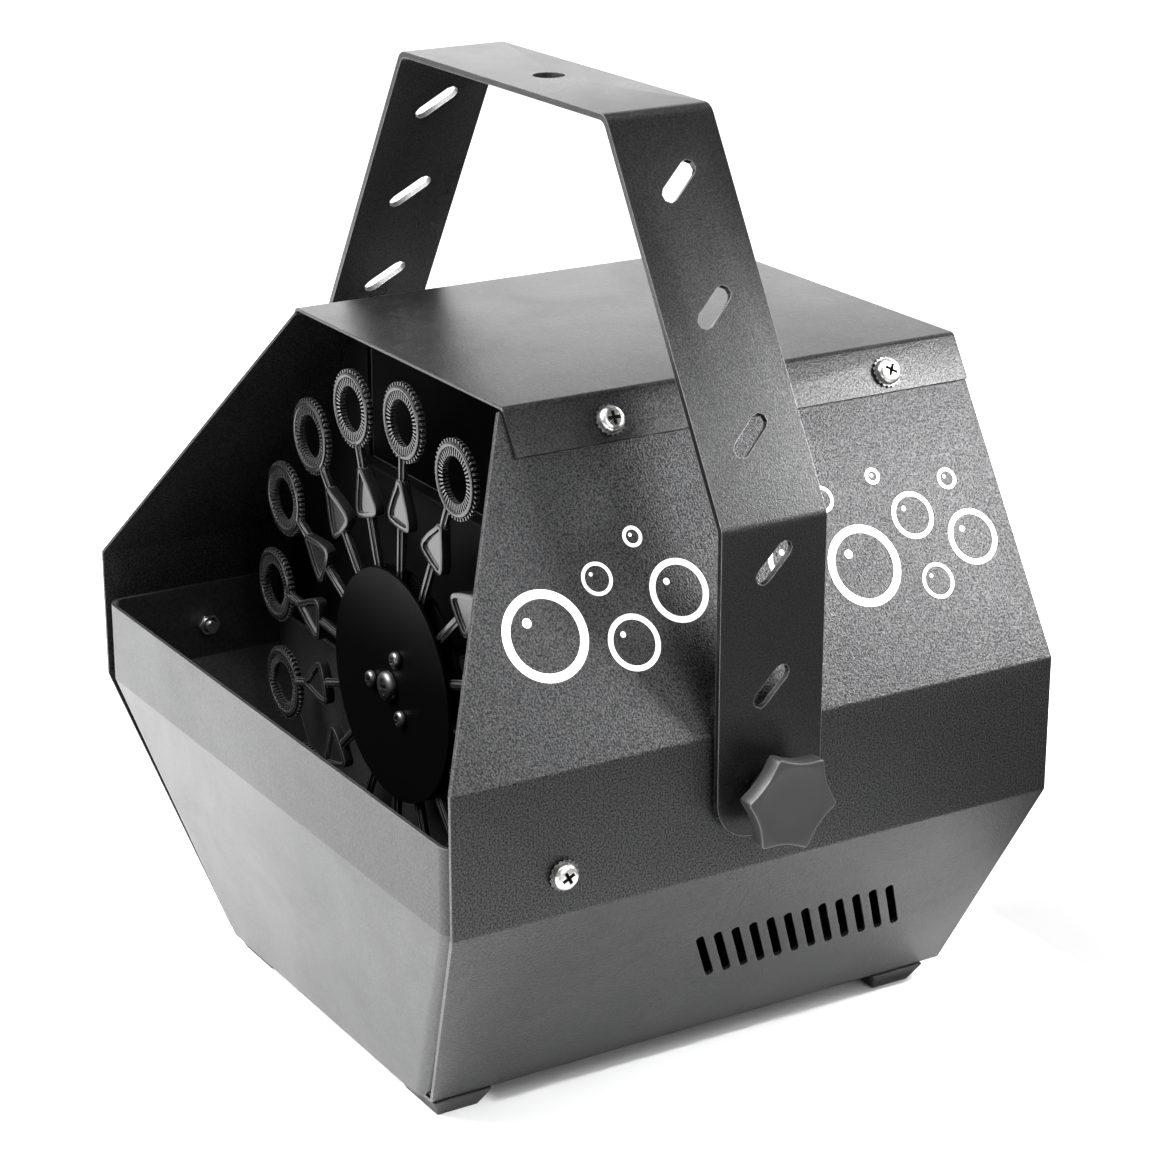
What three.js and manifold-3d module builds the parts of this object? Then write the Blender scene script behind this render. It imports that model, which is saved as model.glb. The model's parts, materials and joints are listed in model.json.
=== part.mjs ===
// Bubble machine: a folded steel case, a wheel of sixteen wands that turns through a tray of bubble
// fluid, a fan that blows through the wands, and a yoke with two knobs that carries the case.
// Millimetres, +Z up. The front faces -Y and the right side faces +X. The origin is on the ground
// under the middle of the case.

import * as THREE from 'three';
import { mergeVertices } from 'three/addons/utils/BufferGeometryUtils.js';
import Module from 'manifold-3d';

const wasm = await Module();
wasm.setup();

// ---- Driving dimensions ----

const GAP = 0.3;                 // clearance between pieces that touch on the real machine
const SHEET = 1.2;               // side panels, base, rear panel, partition and tray
const COVER_SHEET = 1;

// Case: the half-widths and heights of its six-sided section, and its front edge at each height
const FOOT_HEIGHT = 7;
const TOP_HALF = 65.8;
const MID_HALF = 120;
const BOTTOM_HALF = 70.6;
const BOTTOM_Z = FOOT_HEIGHT;
const LOWER_CREASE_Z = BOTTOM_Z + 78.6;
const UPPER_CREASE_Z = BOTTOM_Z + 121.9;
const TOP_Z = BOTTOM_Z + 211.1;
const FRONT_TOP_Y = -56;
const FRONT_MID_Y = -104;
const FRONT_BOTTOM_Y = -84.8;
const BACK_Y = 104;
const BEND_RADIUS = 2;
const RETURN_FLANGE = 14;        // bottom edge of a side panel, folded in under the base

// Top cover and its screws
const COVER_FLANGE = 15;
const COVER_SCREW_DROP = 9;
const COVER_SCREW_YS = [-23.3, 75];

// Vent slots in the lower slope of each side panel
const VENT_COUNT = 12;
const VENT_PITCH = 6.35;
const VENT_WIDTH = 2.8;
const VENT_LENGTH = 28.3;
const VENT_LEAN = 12.9;          // how far a slot's low end lies behind its high end
const VENT_FIRST_Y = -10.1;
const VENT_TOP_DROP = 35;        // slope length from the lower crease to a slot's high end

// Fluid tray, whose front wall closes the lower front of the case
const TRAY_TOP_Z = BOTTOM_Z + 105;
const TRAY_MID_HALF = 118.4;
const TRAY_BOTTOM_HALF = 68.4;
const TRAY_FRONT_BOTTOM_Y = -86.5;
const TRAY_REAR_Y = -39.5;
const TRAY_REAR_TOP_Z = 97;
const TRAY_CORNER = 6;
const TRAY_FLOOR_Z = 10;
const TRAY_SCREW_Y = -68.5;
const TRAY_SCREW_Z = BOTTOM_Z + 91;

// Base, partition, air duct and rear panel
const BASE_Z = BOTTOM_Z + SHEET + GAP;
const BASE_HALF = 68.8;
const PARTITION_Y = -34;
const WINDOW_HALF = 60;
const WINDOW_LOW_Z = 167;
const WINDOW_HIGH_Z = 210;
const WINDOW_LIP = 4;
const DUCT_WALL = 1.5;
const REAR_PANEL_Y = 96.8;
const REAR_FLANGE = 10;

// Fan
const FAN_Z = 151;
const FAN_SIZE = 119;
const FAN_FRONT_Y = 58.3;
const FAN_BACK_Y = 96.3;
const FAN_BORE = 57;
const FAN_HUB = 24;
const FAN_BLADES = 7;

// Wheel
const WHEEL_Y = -56;
const WHEEL_Z = BOTTOM_Z + 105.3;
const WAND_COUNT = 16;
const WAND_FIRST_ANGLE = THREE.MathUtils.degToRad(18.2);
const WAND_THICKNESS = 3.4;
const RING_CENTRE = 86.5;
const RING_OUTER = 12.5;
const RING_INNER = 7.3;
const ROD_HALF = 1.5;
const DISC_RADIUS = 37.5;
const DISC_THICKNESS = 1.2;
const DISC_SCREW_CIRCLE = 11.5;
const DISC_SCREW_ANGLES = [63, 187, 312].map(THREE.MathUtils.degToRad);
const SHAFT_RADIUS = 3.5;

// Yoke, knobs and pivots
const PIVOT_Y = -1.5;
const PIVOT_Z = BOTTOM_Z + 103;
const YOKE_SHEET = 2;
const YOKE_WIDTH = 35.6;
const YOKE_LEG_X = 123.5;        // outer face of a leg
const YOKE_TOP_HALF = 61.3;
const YOKE_TOP_Z = BOTTOM_Z + 290;
const YOKE_KNEE_Z = BOTTOM_Z + 184;
const YOKE_END_Z = PIVOT_Z - 13;
const YOKE_END_CORNER = 12;
const YOKE_SLOT_WIDTH = 5;
const YOKE_SLANT_SLOTS = { length: 16, slant: 1.18, drops: [21.8, 59.5, 97.4] };
const YOKE_LEG_SLOTS = { length: 15, slant: 1, zs: [BOTTOM_Z + 172.1, BOTTOM_Z + 135] };
const STUD_RADIUS = 4;
const STUD_HOLE = 4.6;
const KNOB_SIDES = 6;
const KNOB_TIP = 15.7;
const KNOB_DIP = 1.2;            // how far the middle of a side is hollowed
const KNOB_ROUND = 0.4;          // how much the rounding takes off each corner
const KNOB_TURN = THREE.MathUtils.degToRad(-11);

// Feet
const FOOT_X = 57;
const FOOT_YS = { front: -74, rear: 88 };
const FOOT_TOP_HALF = 10.1;
const FOOT_BOTTOM_HALF = 7;
const FOOT_STRETCH = 1.4;        // a foot's width across the case for its width along it

// Power inlet, switch and terminal block
const INLET = { x: -36, z: 48 };
const SWITCH = { x: 34, z: 48 };
const ROCKER_REST = THREE.MathUtils.degToRad(11);

// ---- Materials ----

const paint = (name, color, roughness) =>
  Object.assign(new THREE.MeshStandardMaterial({ color, roughness, metalness: 0.3 }), { name });
const plain = (name, color, roughness, metalness = 0) =>
  Object.assign(new THREE.MeshStandardMaterial({ color, roughness, metalness }), { name });

const MATERIALS = {
  casePaint: paint('case_paint', 0x2c2e2e, 0.55),
  trayPaint: paint('tray_paint', 0x3a3c3c, 0.45),
  yokePaint: paint('yoke_paint', 0x242626, 0.6),
  wand: plain('wand_plastic', 0x101011, 0.3),
  knob: plain('knob_plastic', 0x2a2a2c, 0.6),
  rubber: plain('foot_rubber', 0x151515, 0.8),
  screw: plain('screw_plate', 0xc8c8c4, 0.3, 1),
  motor: plain('motor_plate', 0x9a9c9c, 0.4, 1),
  fan: plain('fan_plastic', 0x1a1a1c, 0.55),
  fitting: plain('fitting_plastic', 0x161617, 0.45),
  wire: plain('guard_wire', 0xb0b2b2, 0.3, 1),
  terminal: plain('terminal_plastic', 0xd8d4c4, 0.5),
};

// ---- Geometry helpers ----

const AXIS = {
  x: new THREE.Vector3(1, 0, 0),
  y: new THREE.Vector3(0, 1, 0),
  z: new THREE.Vector3(0, 0, 1),
};
const QUARTER = Math.PI / 2;

function shapeOf(points) {
  return new THREE.Shape(points.map(([u, v]) => new THREE.Vector2(u, v)));
}

// An arc in an outline is drawn with twice curveSegments straight sides
function extrude(shape, depth, curveSegments = 6, steps = 1) {
  return new THREE.ExtrudeGeometry(shape, { depth, curveSegments, steps, bevelEnabled: false });
}

// Extrudes an outline of [y, z] along X, of [x, z] along Y, or of [x, y] along Z
function prismX(shape, x0, x1, curveSegments) {
  const cyclic = new THREE.Matrix4().makeBasis(AXIS.y, AXIS.z, AXIS.x);
  return extrude(shape, x1 - x0, curveSegments).applyMatrix4(cyclic).translate(x0, 0, 0);
}

function prismY(shape, y0, y1, curveSegments) {
  return extrude(shape, y1 - y0, curveSegments).rotateX(QUARTER).translate(0, y1, 0);
}

function prismZ(shape, z0, z1, curveSegments) {
  return extrude(shape, z1 - z0, curveSegments).translate(0, 0, z0);
}

function block(x0, x1, y0, y1, z0, z1) {
  const geometry = new THREE.BoxGeometry(x1 - x0, y1 - y0, z1 - z0);
  return geometry.translate((x0 + x1) / 2, (y0 + y1) / 2, (z0 + z1) / 2);
}

// A cylinder along Y from y0 to y1, around (x, z)
function rodY(radius, y0, y1, x = 0, z = 0, sides = 24) {
  return new THREE.CylinderGeometry(radius, radius, y1 - y0, sides).translate(x, (y0 + y1) / 2, z);
}

// A cylinder along X from x0 to x1, around (y, z)
function rodX(radius, x0, x1, y = 0, z = 0, sides = 24) {
  const geometry = new THREE.CylinderGeometry(radius, radius, x1 - x0, sides).rotateZ(QUARTER);
  return geometry.translate((x0 + x1) / 2, y, z);
}

function rodZ(radius, z0, z1, sides = 24) {
  const geometry = new THREE.CylinderGeometry(radius, radius, z1 - z0, sides).rotateX(QUARTER);
  return geometry.translate(0, 0, (z0 + z1) / 2);
}

function circlePoints(radius, x, y, sides) {
  return Array.from({ length: sides }, (_, i) => {
    const angle = (i * 2 * Math.PI) / sides;
    return new THREE.Vector2(x + radius * Math.cos(angle), y + radius * Math.sin(angle));
  });
}

// A round hole in an outline
function circlePath(radius, x = 0, y = 0, sides = 10) {
  return new THREE.Path(circlePoints(radius, x, y, sides).reverse());
}

// A round outline with a round hole
function ringShape(outer, bore, sides) {
  const shape = new THREE.Shape(circlePoints(outer, 0, 0, sides));
  shape.holes.push(circlePath(bore, 0, 0, sides));
  return shape;
}

function toSolid(geometry) {
  const bare = geometry.clone();
  bare.deleteAttribute('normal');
  bare.deleteAttribute('uv');
  const merged = mergeVertices(bare, 1e-4);
  return new wasm.Manifold(new wasm.Mesh({
    numProp: 3,
    vertProperties: new Float32Array(merged.attributes.position.array),
    triVerts: new Uint32Array(merged.index.array),
  }));
}

function fromSolid(solid) {
  const mesh = solid.getMesh();
  const geometry = new THREE.BufferGeometry();
  geometry.setAttribute('position', new THREE.BufferAttribute(mesh.vertProperties.slice(), 3));
  geometry.setIndex(new THREE.BufferAttribute(mesh.triVerts.slice(), 1));
  return geometry;
}

// The joined and cut result of closed geometries
function combine(joined, cut = [], kept = []) {
  let solid = joined.map(toSolid).reduce((a, b) => a.add(b));
  kept.forEach((geometry) => { solid = solid.intersect(toSolid(geometry)); });
  cut.forEach((geometry) => { solid = solid.subtract(toSolid(geometry)); });
  return fromSolid(solid);
}

function mirrorX(geometry) {
  const mirrored = geometry.clone().scale(-1, 1, 1);
  const indexed = mirrored.index ? mirrored : mergeVertices(mirrored, 1e-4);
  const order = indexed.index.array;
  for (let i = 0; i < order.length; i += 3) {
    [order[i + 1], order[i + 2]] = [order[i + 2], order[i + 1]];
  }
  indexed.deleteAttribute('normal');
  return indexed;
}

// Moves a run of 2D points sideways by a distance, to the left of its direction when positive
function offsetRun(points, distance) {
  const dirs = points.slice(1).map((p, i) => {
    const [du, dv] = [p[0] - points[i][0], p[1] - points[i][1]];
    const length = Math.hypot(du, dv);
    return [du / length, dv / length];
  });
  return points.map(([u, v], i) => {
    const before = dirs[Math.max(i - 1, 0)];
    const after = dirs[Math.min(i, dirs.length - 1)];
    const scale = distance / (1 + before[0] * after[0] + before[1] * after[1]);
    return [u - (before[1] + after[1]) * scale, v + (before[0] + after[0]) * scale];
  });
}

// Rounds the inner corners of a run of 2D points
function roundRun(points, radius, segments = 3) {
  const rounded = [points[0]];
  for (let i = 1; i < points.length - 1; i += 1) {
    const corner = new THREE.Vector2(...points[i]);
    const back = new THREE.Vector2(...points[i - 1]).sub(corner).normalize();
    const ahead = new THREE.Vector2(...points[i + 1]).sub(corner).normalize();
    const half = back.angleTo(ahead) / 2;
    const start = corner.clone().addScaledVector(back, radius / Math.tan(half));
    const end = corner.clone().addScaledVector(ahead, radius / Math.tan(half));
    const middle = back.clone().add(ahead).normalize();
    const centre = corner.clone().addScaledVector(middle, radius / Math.sin(half));
    for (let k = 0; k <= segments; k += 1) {
      const spoke = start.clone().lerp(end, k / segments).sub(centre).setLength(radius);
      rounded.push(centre.clone().add(spoke).toArray());
    }
  }
  rounded.push(points.at(-1));
  return rounded;
}

// The section of a folded strip: its outer face, and the same face moved in by the thickness
function foldedStrip(outer, thickness, radius) {
  const face = roundRun(outer, radius);
  return shapeOf([...face, ...offsetRun(face, thickness).reverse()]);
}

// A rounded slot along local X, cut through along local Z
function slotCutter(length, width, depth) {
  const radius = width / 2;
  const reach = length / 2 - radius;
  const shape = new THREE.Shape();
  shape.absarc(reach, 0, radius, -QUARTER, QUARTER, false);
  shape.absarc(-reach, 0, radius, QUARTER, 3 * QUARTER, false);
  return prismZ(shape, -depth / 2, depth / 2, 2);
}

// Places a geometry built around local Z on a surface: local Z along the normal, local X along
function placeOn(geometry, point, normal, along) {
  const side = new THREE.Vector3().crossVectors(normal, along).normalize();
  const run = new THREE.Vector3().crossVectors(side, normal).normalize();
  return geometry.applyMatrix4(new THREE.Matrix4().makeBasis(run, side, normal).setPosition(point));
}

// ---- The case's section ----

// A side panel's outer face runs under the cover's flange at the top
const COVER_STEP = COVER_SHEET + GAP;
const UPPER_LEAN = Math.atan2(MID_HALF - TOP_HALF, TOP_Z - UPPER_CREASE_Z);
const PANEL_TOP_HALF = TOP_HALF - COVER_STEP / Math.cos(UPPER_LEAN);
const SIDE_RUN = [
  [PANEL_TOP_HALF, TOP_Z],
  [MID_HALF, UPPER_CREASE_Z],
  [MID_HALF, LOWER_CREASE_Z],
  [BOTTOM_HALF, BOTTOM_Z],
];

function unitFrom([u0, v0], [u1, v1]) {
  return new THREE.Vector3(u1 - u0, 0, v1 - v0).normalize();
}

const UPPER_DOWN = unitFrom(SIDE_RUN[0], SIDE_RUN[1]);
const UPPER_NORMAL = new THREE.Vector3(-UPPER_DOWN.z, 0, UPPER_DOWN.x);
const LOWER_DOWN = unitFrom(SIDE_RUN[2], SIDE_RUN[3]);
const LOWER_NORMAL = new THREE.Vector3(-LOWER_DOWN.z, 0, LOWER_DOWN.x);

const alongRun = ([u0, v0], [u1, v1], v) => u0 + ((u1 - u0) * (v - v0)) / (v1 - v0);

// The case's section, moved in by an inset and closed at two heights
function sectionShape(inset, bottomZ, topZ) {
  const [top, upper, lower, bottom] = offsetRun(SIDE_RUN, -inset);
  const right = [
    [alongRun(lower, bottom, bottomZ), bottomZ],
    lower,
    upper,
    [alongRun(top, upper, topZ), topZ],
  ];
  const left = right.map(([x, z]) => [-x, z]).reverse();
  return shapeOf([...right, ...left]);
}

// ---- Case panels ----

function sidePanel() {
  const panelTopZ = TOP_Z - COVER_STEP;
  const outer = [
    [alongRun(SIDE_RUN[0], SIDE_RUN[1], panelTopZ), panelTopZ],
    SIDE_RUN[1],
    SIDE_RUN[2],
    SIDE_RUN[3],
    [BOTTOM_HALF - RETURN_FLANGE, BOTTOM_Z],
  ];
  const sheet = prismY(foldedStrip(outer, -SHEET, BEND_RADIUS), FRONT_MID_Y - 1, BACK_Y);
  const sideView = prismX(shapeOf([
    [FRONT_TOP_Y, TOP_Z],
    [FRONT_MID_Y, UPPER_CREASE_Z],
    [FRONT_MID_Y, LOWER_CREASE_Z],
    [FRONT_BOTTOM_Y, BOTTOM_Z],
    [FRONT_BOTTOM_Y, 0],
    [BACK_Y + 1, 0],
    [BACK_Y + 1, TOP_Z],
  ]), 0, MID_HALF + 1);

  const holes = [
    rodX(STUD_HOLE, MID_HALF - 5, MID_HALF + 5, PIVOT_Y, PIVOT_Z),
    rodX(2.5, MID_HALF - 5, MID_HALF + 5, TRAY_SCREW_Y, TRAY_SCREW_Z, 12),
  ];
  COVER_SCREW_YS.forEach((y) => holes.push(coverScrewHole(y)));
  const ventDrop = Math.sqrt(VENT_LENGTH ** 2 - VENT_LEAN ** 2);
  const lean = LOWER_DOWN.clone().multiplyScalar(ventDrop).addScaledVector(AXIS.y, VENT_LEAN);
  for (let i = 0; i < VENT_COUNT; i += 1) {
    const centre = new THREE.Vector3(MID_HALF, VENT_FIRST_Y + i * VENT_PITCH, LOWER_CREASE_Z);
    centre.addScaledVector(LOWER_DOWN, VENT_TOP_DROP).addScaledVector(lean, 0.5);
    holes.push(placeOn(slotCutter(VENT_LENGTH, VENT_WIDTH, 8), centre, LOWER_NORMAL, lean));
  }
  return combine([sheet], holes, [sideView]);
}

function coverScrewPoint(y) {
  return new THREE.Vector3(TOP_HALF, y, TOP_Z).addScaledVector(UPPER_DOWN, COVER_SCREW_DROP);
}

function coverScrewHole(y) {
  return placeOn(rodZ(2.5, -8, 8, 12), coverScrewPoint(y), UPPER_NORMAL, AXIS.y);
}

function topCover() {
  const flangeEnd = new THREE.Vector3(TOP_HALF, 0, TOP_Z).addScaledVector(UPPER_DOWN, COVER_FLANGE);
  const outer = [
    [-flangeEnd.x, flangeEnd.z],
    [-TOP_HALF, TOP_Z],
    [TOP_HALF, TOP_Z],
    [flangeEnd.x, flangeEnd.z],
  ];
  const sheet = prismY(foldedStrip(outer, -COVER_SHEET, BEND_RADIUS), FRONT_TOP_Y, BACK_Y);
  const holes = COVER_SCREW_YS.flatMap((y) => [coverScrewHole(y), mirrorX(coverScrewHole(y))]);
  return combine([sheet], holes);
}

function basePlate() {
  return block(-BASE_HALF, BASE_HALF, FRONT_BOTTOM_Y + GAP, BACK_Y - 0.5, BASE_Z, BASE_Z + SHEET);
}

function rearPanel() {
  const inset = SHEET + GAP;
  const low = BASE_Z + SHEET + GAP;
  const high = TOP_Z - COVER_STEP;
  const pan = prismY(sectionShape(inset, low, high), REAR_PANEL_Y - REAR_FLANGE, REAR_PANEL_Y + SHEET);
  const hollow = prismY(
    sectionShape(inset + SHEET, low + SHEET, high - SHEET),
    REAR_PANEL_Y - REAR_FLANGE - 1,
    REAR_PANEL_Y,
  );
  const cutLow = REAR_PANEL_Y - 1;
  const cutHigh = REAR_PANEL_Y + SHEET + 1;
  return combine([pan], [
    hollow,
    rodY(FAN_BORE, cutLow, cutHigh, 0, FAN_Z, 40),
    block(INLET.x - 14.6, INLET.x + 14.6, cutLow, cutHigh, INLET.z - 15, INLET.z + 15),
    block(SWITCH.x - 7, SWITCH.x + 7, cutLow, cutHigh, SWITCH.z - 10, SWITCH.z + 10),
  ]);
}

function partition() {
  const low = BASE_Z + SHEET + GAP;
  const high = TOP_Z - COVER_STEP;
  const back = PARTITION_Y + SHEET;
  const plate = prismY(sectionShape(SHEET + 2 * GAP, low, high), PARTITION_Y, back);
  const lip = block(
    -WINDOW_HALF, WINDOW_HALF, PARTITION_Y - WINDOW_LIP, back, WINDOW_LOW_Z - SHEET, WINDOW_LOW_Z,
  );
  const window = block(
    -WINDOW_HALF, WINDOW_HALF, PARTITION_Y - 1, back + 1, WINDOW_LOW_Z, WINDOW_HIGH_Z,
  );
  return combine([plate, lip], [window, rodY(6, PARTITION_Y - 1, back + 1, 0, WHEEL_Z)]);
}

// ---- Fluid tray ----

// The tray's outside or inside: a plan outline with round front corners, swept up through three levels
function trayLoft(inset, bottomZ, topZ) {
  const levels = [
    { z: bottomZ, half: TRAY_BOTTOM_HALF, front: TRAY_FRONT_BOTTOM_Y },
    { z: LOWER_CREASE_Z, half: TRAY_MID_HALF, front: FRONT_MID_Y },
    { z: topZ, half: TRAY_MID_HALF, front: FRONT_MID_Y },
  ];
  const rear = TRAY_REAR_Y - inset;
  const radius = TRAY_CORNER - inset;
  const reach = TRAY_MID_HALF - inset;
  const front = FRONT_MID_Y + inset;
  const plan = new THREE.Shape();
  plan.moveTo(reach, rear);
  plan.lineTo(-reach, rear);
  plan.absarc(-reach + radius, front + radius, radius, Math.PI, 1.5 * Math.PI, false);
  plan.absarc(reach - radius, front + radius, radius, 1.5 * Math.PI, 2 * Math.PI, false);
  const geometry = extrude(plan, levels.length - 1, 3, levels.length - 1);
  const place = geometry.attributes.position;
  for (let i = 0; i < place.count; i += 1) {
    const level = levels[Math.round(place.getZ(i))];
    const [x, y] = [place.getX(i), place.getY(i)];
    place.setX(i, x + Math.sign(x) * (level.half - TRAY_MID_HALF));
    place.setY(i, y < rear - 1 ? y + level.front - FRONT_MID_Y : y);
    place.setZ(i, level.z);
  }
  return geometry;
}

function fluidTray() {
  const wide = MID_HALF + 5;
  const skirtY = FRONT_BOTTOM_Y - GAP;
  const outside = toSolid(trayLoft(0, BOTTOM_Z + GAP, TRAY_TOP_Z));
  const hollow = toSolid(trayLoft(SHEET, BOTTOM_Z + GAP, TRAY_TOP_Z + 0.01));
  const below = hollow.trimByPlane([0, 0, -1], -TRAY_FLOOR_Z);
  const above = hollow.trimByPlane([0, 0, 1], TRAY_FLOOR_Z + SHEET);
  const under = toSolid(block(-wide, wide, skirtY, 0, 0, TRAY_FLOOR_Z));
  const rearTop = toSolid(block(
    -wide, wide, TRAY_REAR_Y - SHEET - 0.5, TRAY_REAR_Y + 1, TRAY_REAR_TOP_Z, TRAY_TOP_Z + 1,
  ));
  const screwHoles = toSolid(rodX(2.5, -wide, wide, TRAY_SCREW_Y, TRAY_SCREW_Z, 12));
  return fromSolid(
    outside.subtract(above).subtract(below).subtract(under).subtract(rearTop).subtract(screwHoles),
  );
}

// ---- Air duct and fan ----

// A tapering box between two rectangles of half-width, low z and high z
function taperedBox(front, rear, frontY, rearY) {
  const geometry = new THREE.BoxGeometry(2, 2, 2);
  const place = geometry.attributes.position;
  for (let i = 0; i < place.count; i += 1) {
    const end = place.getY(i) < 0 ? front : rear;
    place.setX(i, place.getX(i) * end.half);
    place.setZ(i, place.getZ(i) < 0 ? end.low : end.high);
    place.setY(i, place.getY(i) < 0 ? frontY : rearY);
  }
  return geometry;
}

function airDuct() {
  const frontY = PARTITION_Y + SHEET + GAP;
  const rearY = FAN_FRONT_Y - GAP;
  const front = { half: WINDOW_HALF, low: WINDOW_LOW_Z, high: WINDOW_HIGH_Z };
  const rear = {
    half: FAN_SIZE / 2 - DUCT_WALL,
    low: FAN_Z - FAN_SIZE / 2 + DUCT_WALL,
    high: FAN_Z + FAN_SIZE / 2 - DUCT_WALL,
  };
  const grown = ({ half, low, high }) => (
    { half: half + DUCT_WALL, low: low - DUCT_WALL, high: high + DUCT_WALL }
  );
  const outside = taperedBox(grown(front), grown(rear), frontY, rearY);
  const inside = taperedBox(front, rear, frontY - 0.01, rearY + 0.01);
  return combine([outside], [inside]);
}

function fanFrame() {
  const half = FAN_SIZE / 2;
  const flange = 4;
  const square = (y0, y1) => block(-half, half, y0, y1, FAN_Z - half, FAN_Z + half);
  const shell = toSolid(square(FAN_FRONT_Y, FAN_FRONT_Y + flange))
    .add(toSolid(square(FAN_BACK_Y - flange, FAN_BACK_Y)))
    .add(toSolid(rodY(half - 0.2, FAN_FRONT_Y, FAN_BACK_Y, 0, FAN_Z, 40)))
    .subtract(toSolid(rodY(FAN_BORE, FAN_FRONT_Y - 1, FAN_BACK_Y + 1, 0, FAN_Z, 40)));
  const hubBack = FAN_FRONT_Y + 12;
  const strut = (turn) => new THREE.BoxGeometry(2 * FAN_BORE + 2, 4, 6)
    .rotateY(turn)
    .translate(0, FAN_FRONT_Y + 2, FAN_Z);
  return fromSolid(
    shell
      .add(toSolid(rodY(FAN_HUB, FAN_FRONT_Y, hubBack, 0, FAN_Z, 32)))
      .add(toSolid(strut(Math.PI / 4)))
      .add(toSolid(strut(-Math.PI / 4)))
      .subtract(toSolid(rodY(3, FAN_FRONT_Y + 3, hubBack + 1, 0, FAN_Z, 16))),
  );
}

// The rotor turns about the local Y axis
function fanRotor() {
  const hubFront = FAN_FRONT_Y + 12.7;
  const hubBack = FAN_BACK_Y - 3;
  const middle = (hubFront + hubBack) / 2;
  const bladeLength = FAN_BORE - 1.8 - FAN_HUB + 4;
  const pieces = [
    rodY(FAN_HUB, hubFront, hubBack, 0, 0, 32),
    rodY(2.5, FAN_FRONT_Y + 4, hubFront + 1, 0, 0, 16),
  ];
  for (let i = 0; i < FAN_BLADES; i += 1) {
    const blade = new THREE.BoxGeometry(bladeLength, 1.8, 25)
      .rotateX(THREE.MathUtils.degToRad(38))
      .translate(FAN_HUB - 4 + bladeLength / 2, middle, 0)
      .rotateY((i * 2 * Math.PI) / FAN_BLADES);
    pieces.push(blade);
  }
  return combine(pieces, [], [rodY(FAN_BORE - 1.5, 0, FAN_BACK_Y, 0, 0, 40)]);
}

function fingerGuard() {
  const front = REAR_PANEL_Y + SHEET + GAP;
  const back = front + 2;
  const wire = 1;
  const rings = [14, 28, 42, 56].map(
    (radius) => prismY(ringShape(radius + wire, radius - wire, 16 + radius / 7), front, back),
  );
  const bar = (turn) => new THREE.BoxGeometry(146, 2, 2 * wire)
    .rotateY(turn)
    .translate(0, (front + back) / 2, 0);
  const guard = combine([...rings, bar(Math.PI / 4), bar(-Math.PI / 4)]);
  return guard.translate(0, 0, FAN_Z);
}

// ---- Wheel ----

// A wand lies along +X from the wheel's axis: root, rod, paddle, rod and ring
function wand() {
  const half = [
    [26, 3], [31, 3], [33, ROD_HALF], [52.5, ROD_HALF], [52.9, 5.6], [54.4, 7.1], [56.4, 7],
    [66, 2.2], [68, ROD_HALF],
  ];
  const joint = Math.asin(ROD_HALF / RING_OUTER);
  const shape = new THREE.Shape();
  shape.moveTo(half[0][0], -half[0][1]);
  half.slice(1).forEach(([r, w]) => shape.lineTo(r, -w));
  shape.absarc(RING_CENTRE, 0, RING_OUTER, joint - Math.PI, Math.PI - joint, false);
  half.slice().reverse().forEach(([r, w]) => shape.lineTo(r, w));
  shape.holes.push(circlePath(RING_INNER, RING_CENTRE, 0, 18));
  return prismY(shape, -WAND_THICKNESS / 2, WAND_THICKNESS / 2, 10);
}

function disc(centreHole) {
  const shape = ringShape(DISC_RADIUS, centreHole, 36);
  DISC_SCREW_ANGLES.forEach((angle) => {
    const [x, z] = [DISC_SCREW_CIRCLE * Math.cos(angle), DISC_SCREW_CIRCLE * Math.sin(angle)];
    shape.holes.push(circlePath(1.9, x, z));
  });
  return prismY(shape, 0, DISC_THICKNESS);
}

const WAND_FRONT_Y = WHEEL_Y - WAND_THICKNESS / 2;
const FRONT_DISC_Y = WAND_FRONT_Y - GAP - DISC_THICKNESS;
const REAR_DISC_Y = WHEEL_Y + WAND_THICKNESS / 2 + GAP;
const HUB_FLANGE_Y = REAR_DISC_Y + DISC_THICKNESS + GAP;

function wheelHub() {
  const flangeBack = HUB_FLANGE_Y + 2.5;
  const screwHoles = DISC_SCREW_ANGLES.map((angle) => rodY(
    1.9, HUB_FLANGE_Y - 1, flangeBack + 1,
    DISC_SCREW_CIRCLE * Math.cos(angle), DISC_SCREW_CIRCLE * Math.sin(angle), 12,
  ));
  return combine(
    [
      rodY(7.5, WAND_FRONT_Y, HUB_FLANGE_Y + 1, 0, 0),
      rodY(16, HUB_FLANGE_Y, flangeBack, 0, 0, 32),
      rodY(9, flangeBack - 1, PARTITION_Y - 6, 0, 0),
    ],
    [rodY(SHAFT_RADIUS + 0.4, WAND_FRONT_Y - 1, 0, 0, 0), ...screwHoles],
  );
}

function motorShaft() {
  const front = WAND_FRONT_Y + GAP;
  return combine(
    [rodY(SHAFT_RADIUS, front, PARTITION_Y + 18, 0, 0)],
    [rodY(2, front - 1, front + 10, 0, 0, 12)],
  );
}

function wheelMotor() {
  const front = PARTITION_Y + SHEET + GAP;
  const ears = block(-33, 33, front, front + 1.5, -6, 6);
  const holes = [-29, 29].map((x) => rodY(2.2, front - 1, front + 3, x, 0, 12));
  return combine(
    [rodY(25, front, front + 22, 0, 0, 36), ears],
    [rodY(SHAFT_RADIUS + 0.7, front - 1, PARTITION_Y + 19, 0, 0), ...holes],
  );
}

// ---- Fasteners, built along local +Z with the underside of the head at zero ----

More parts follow.
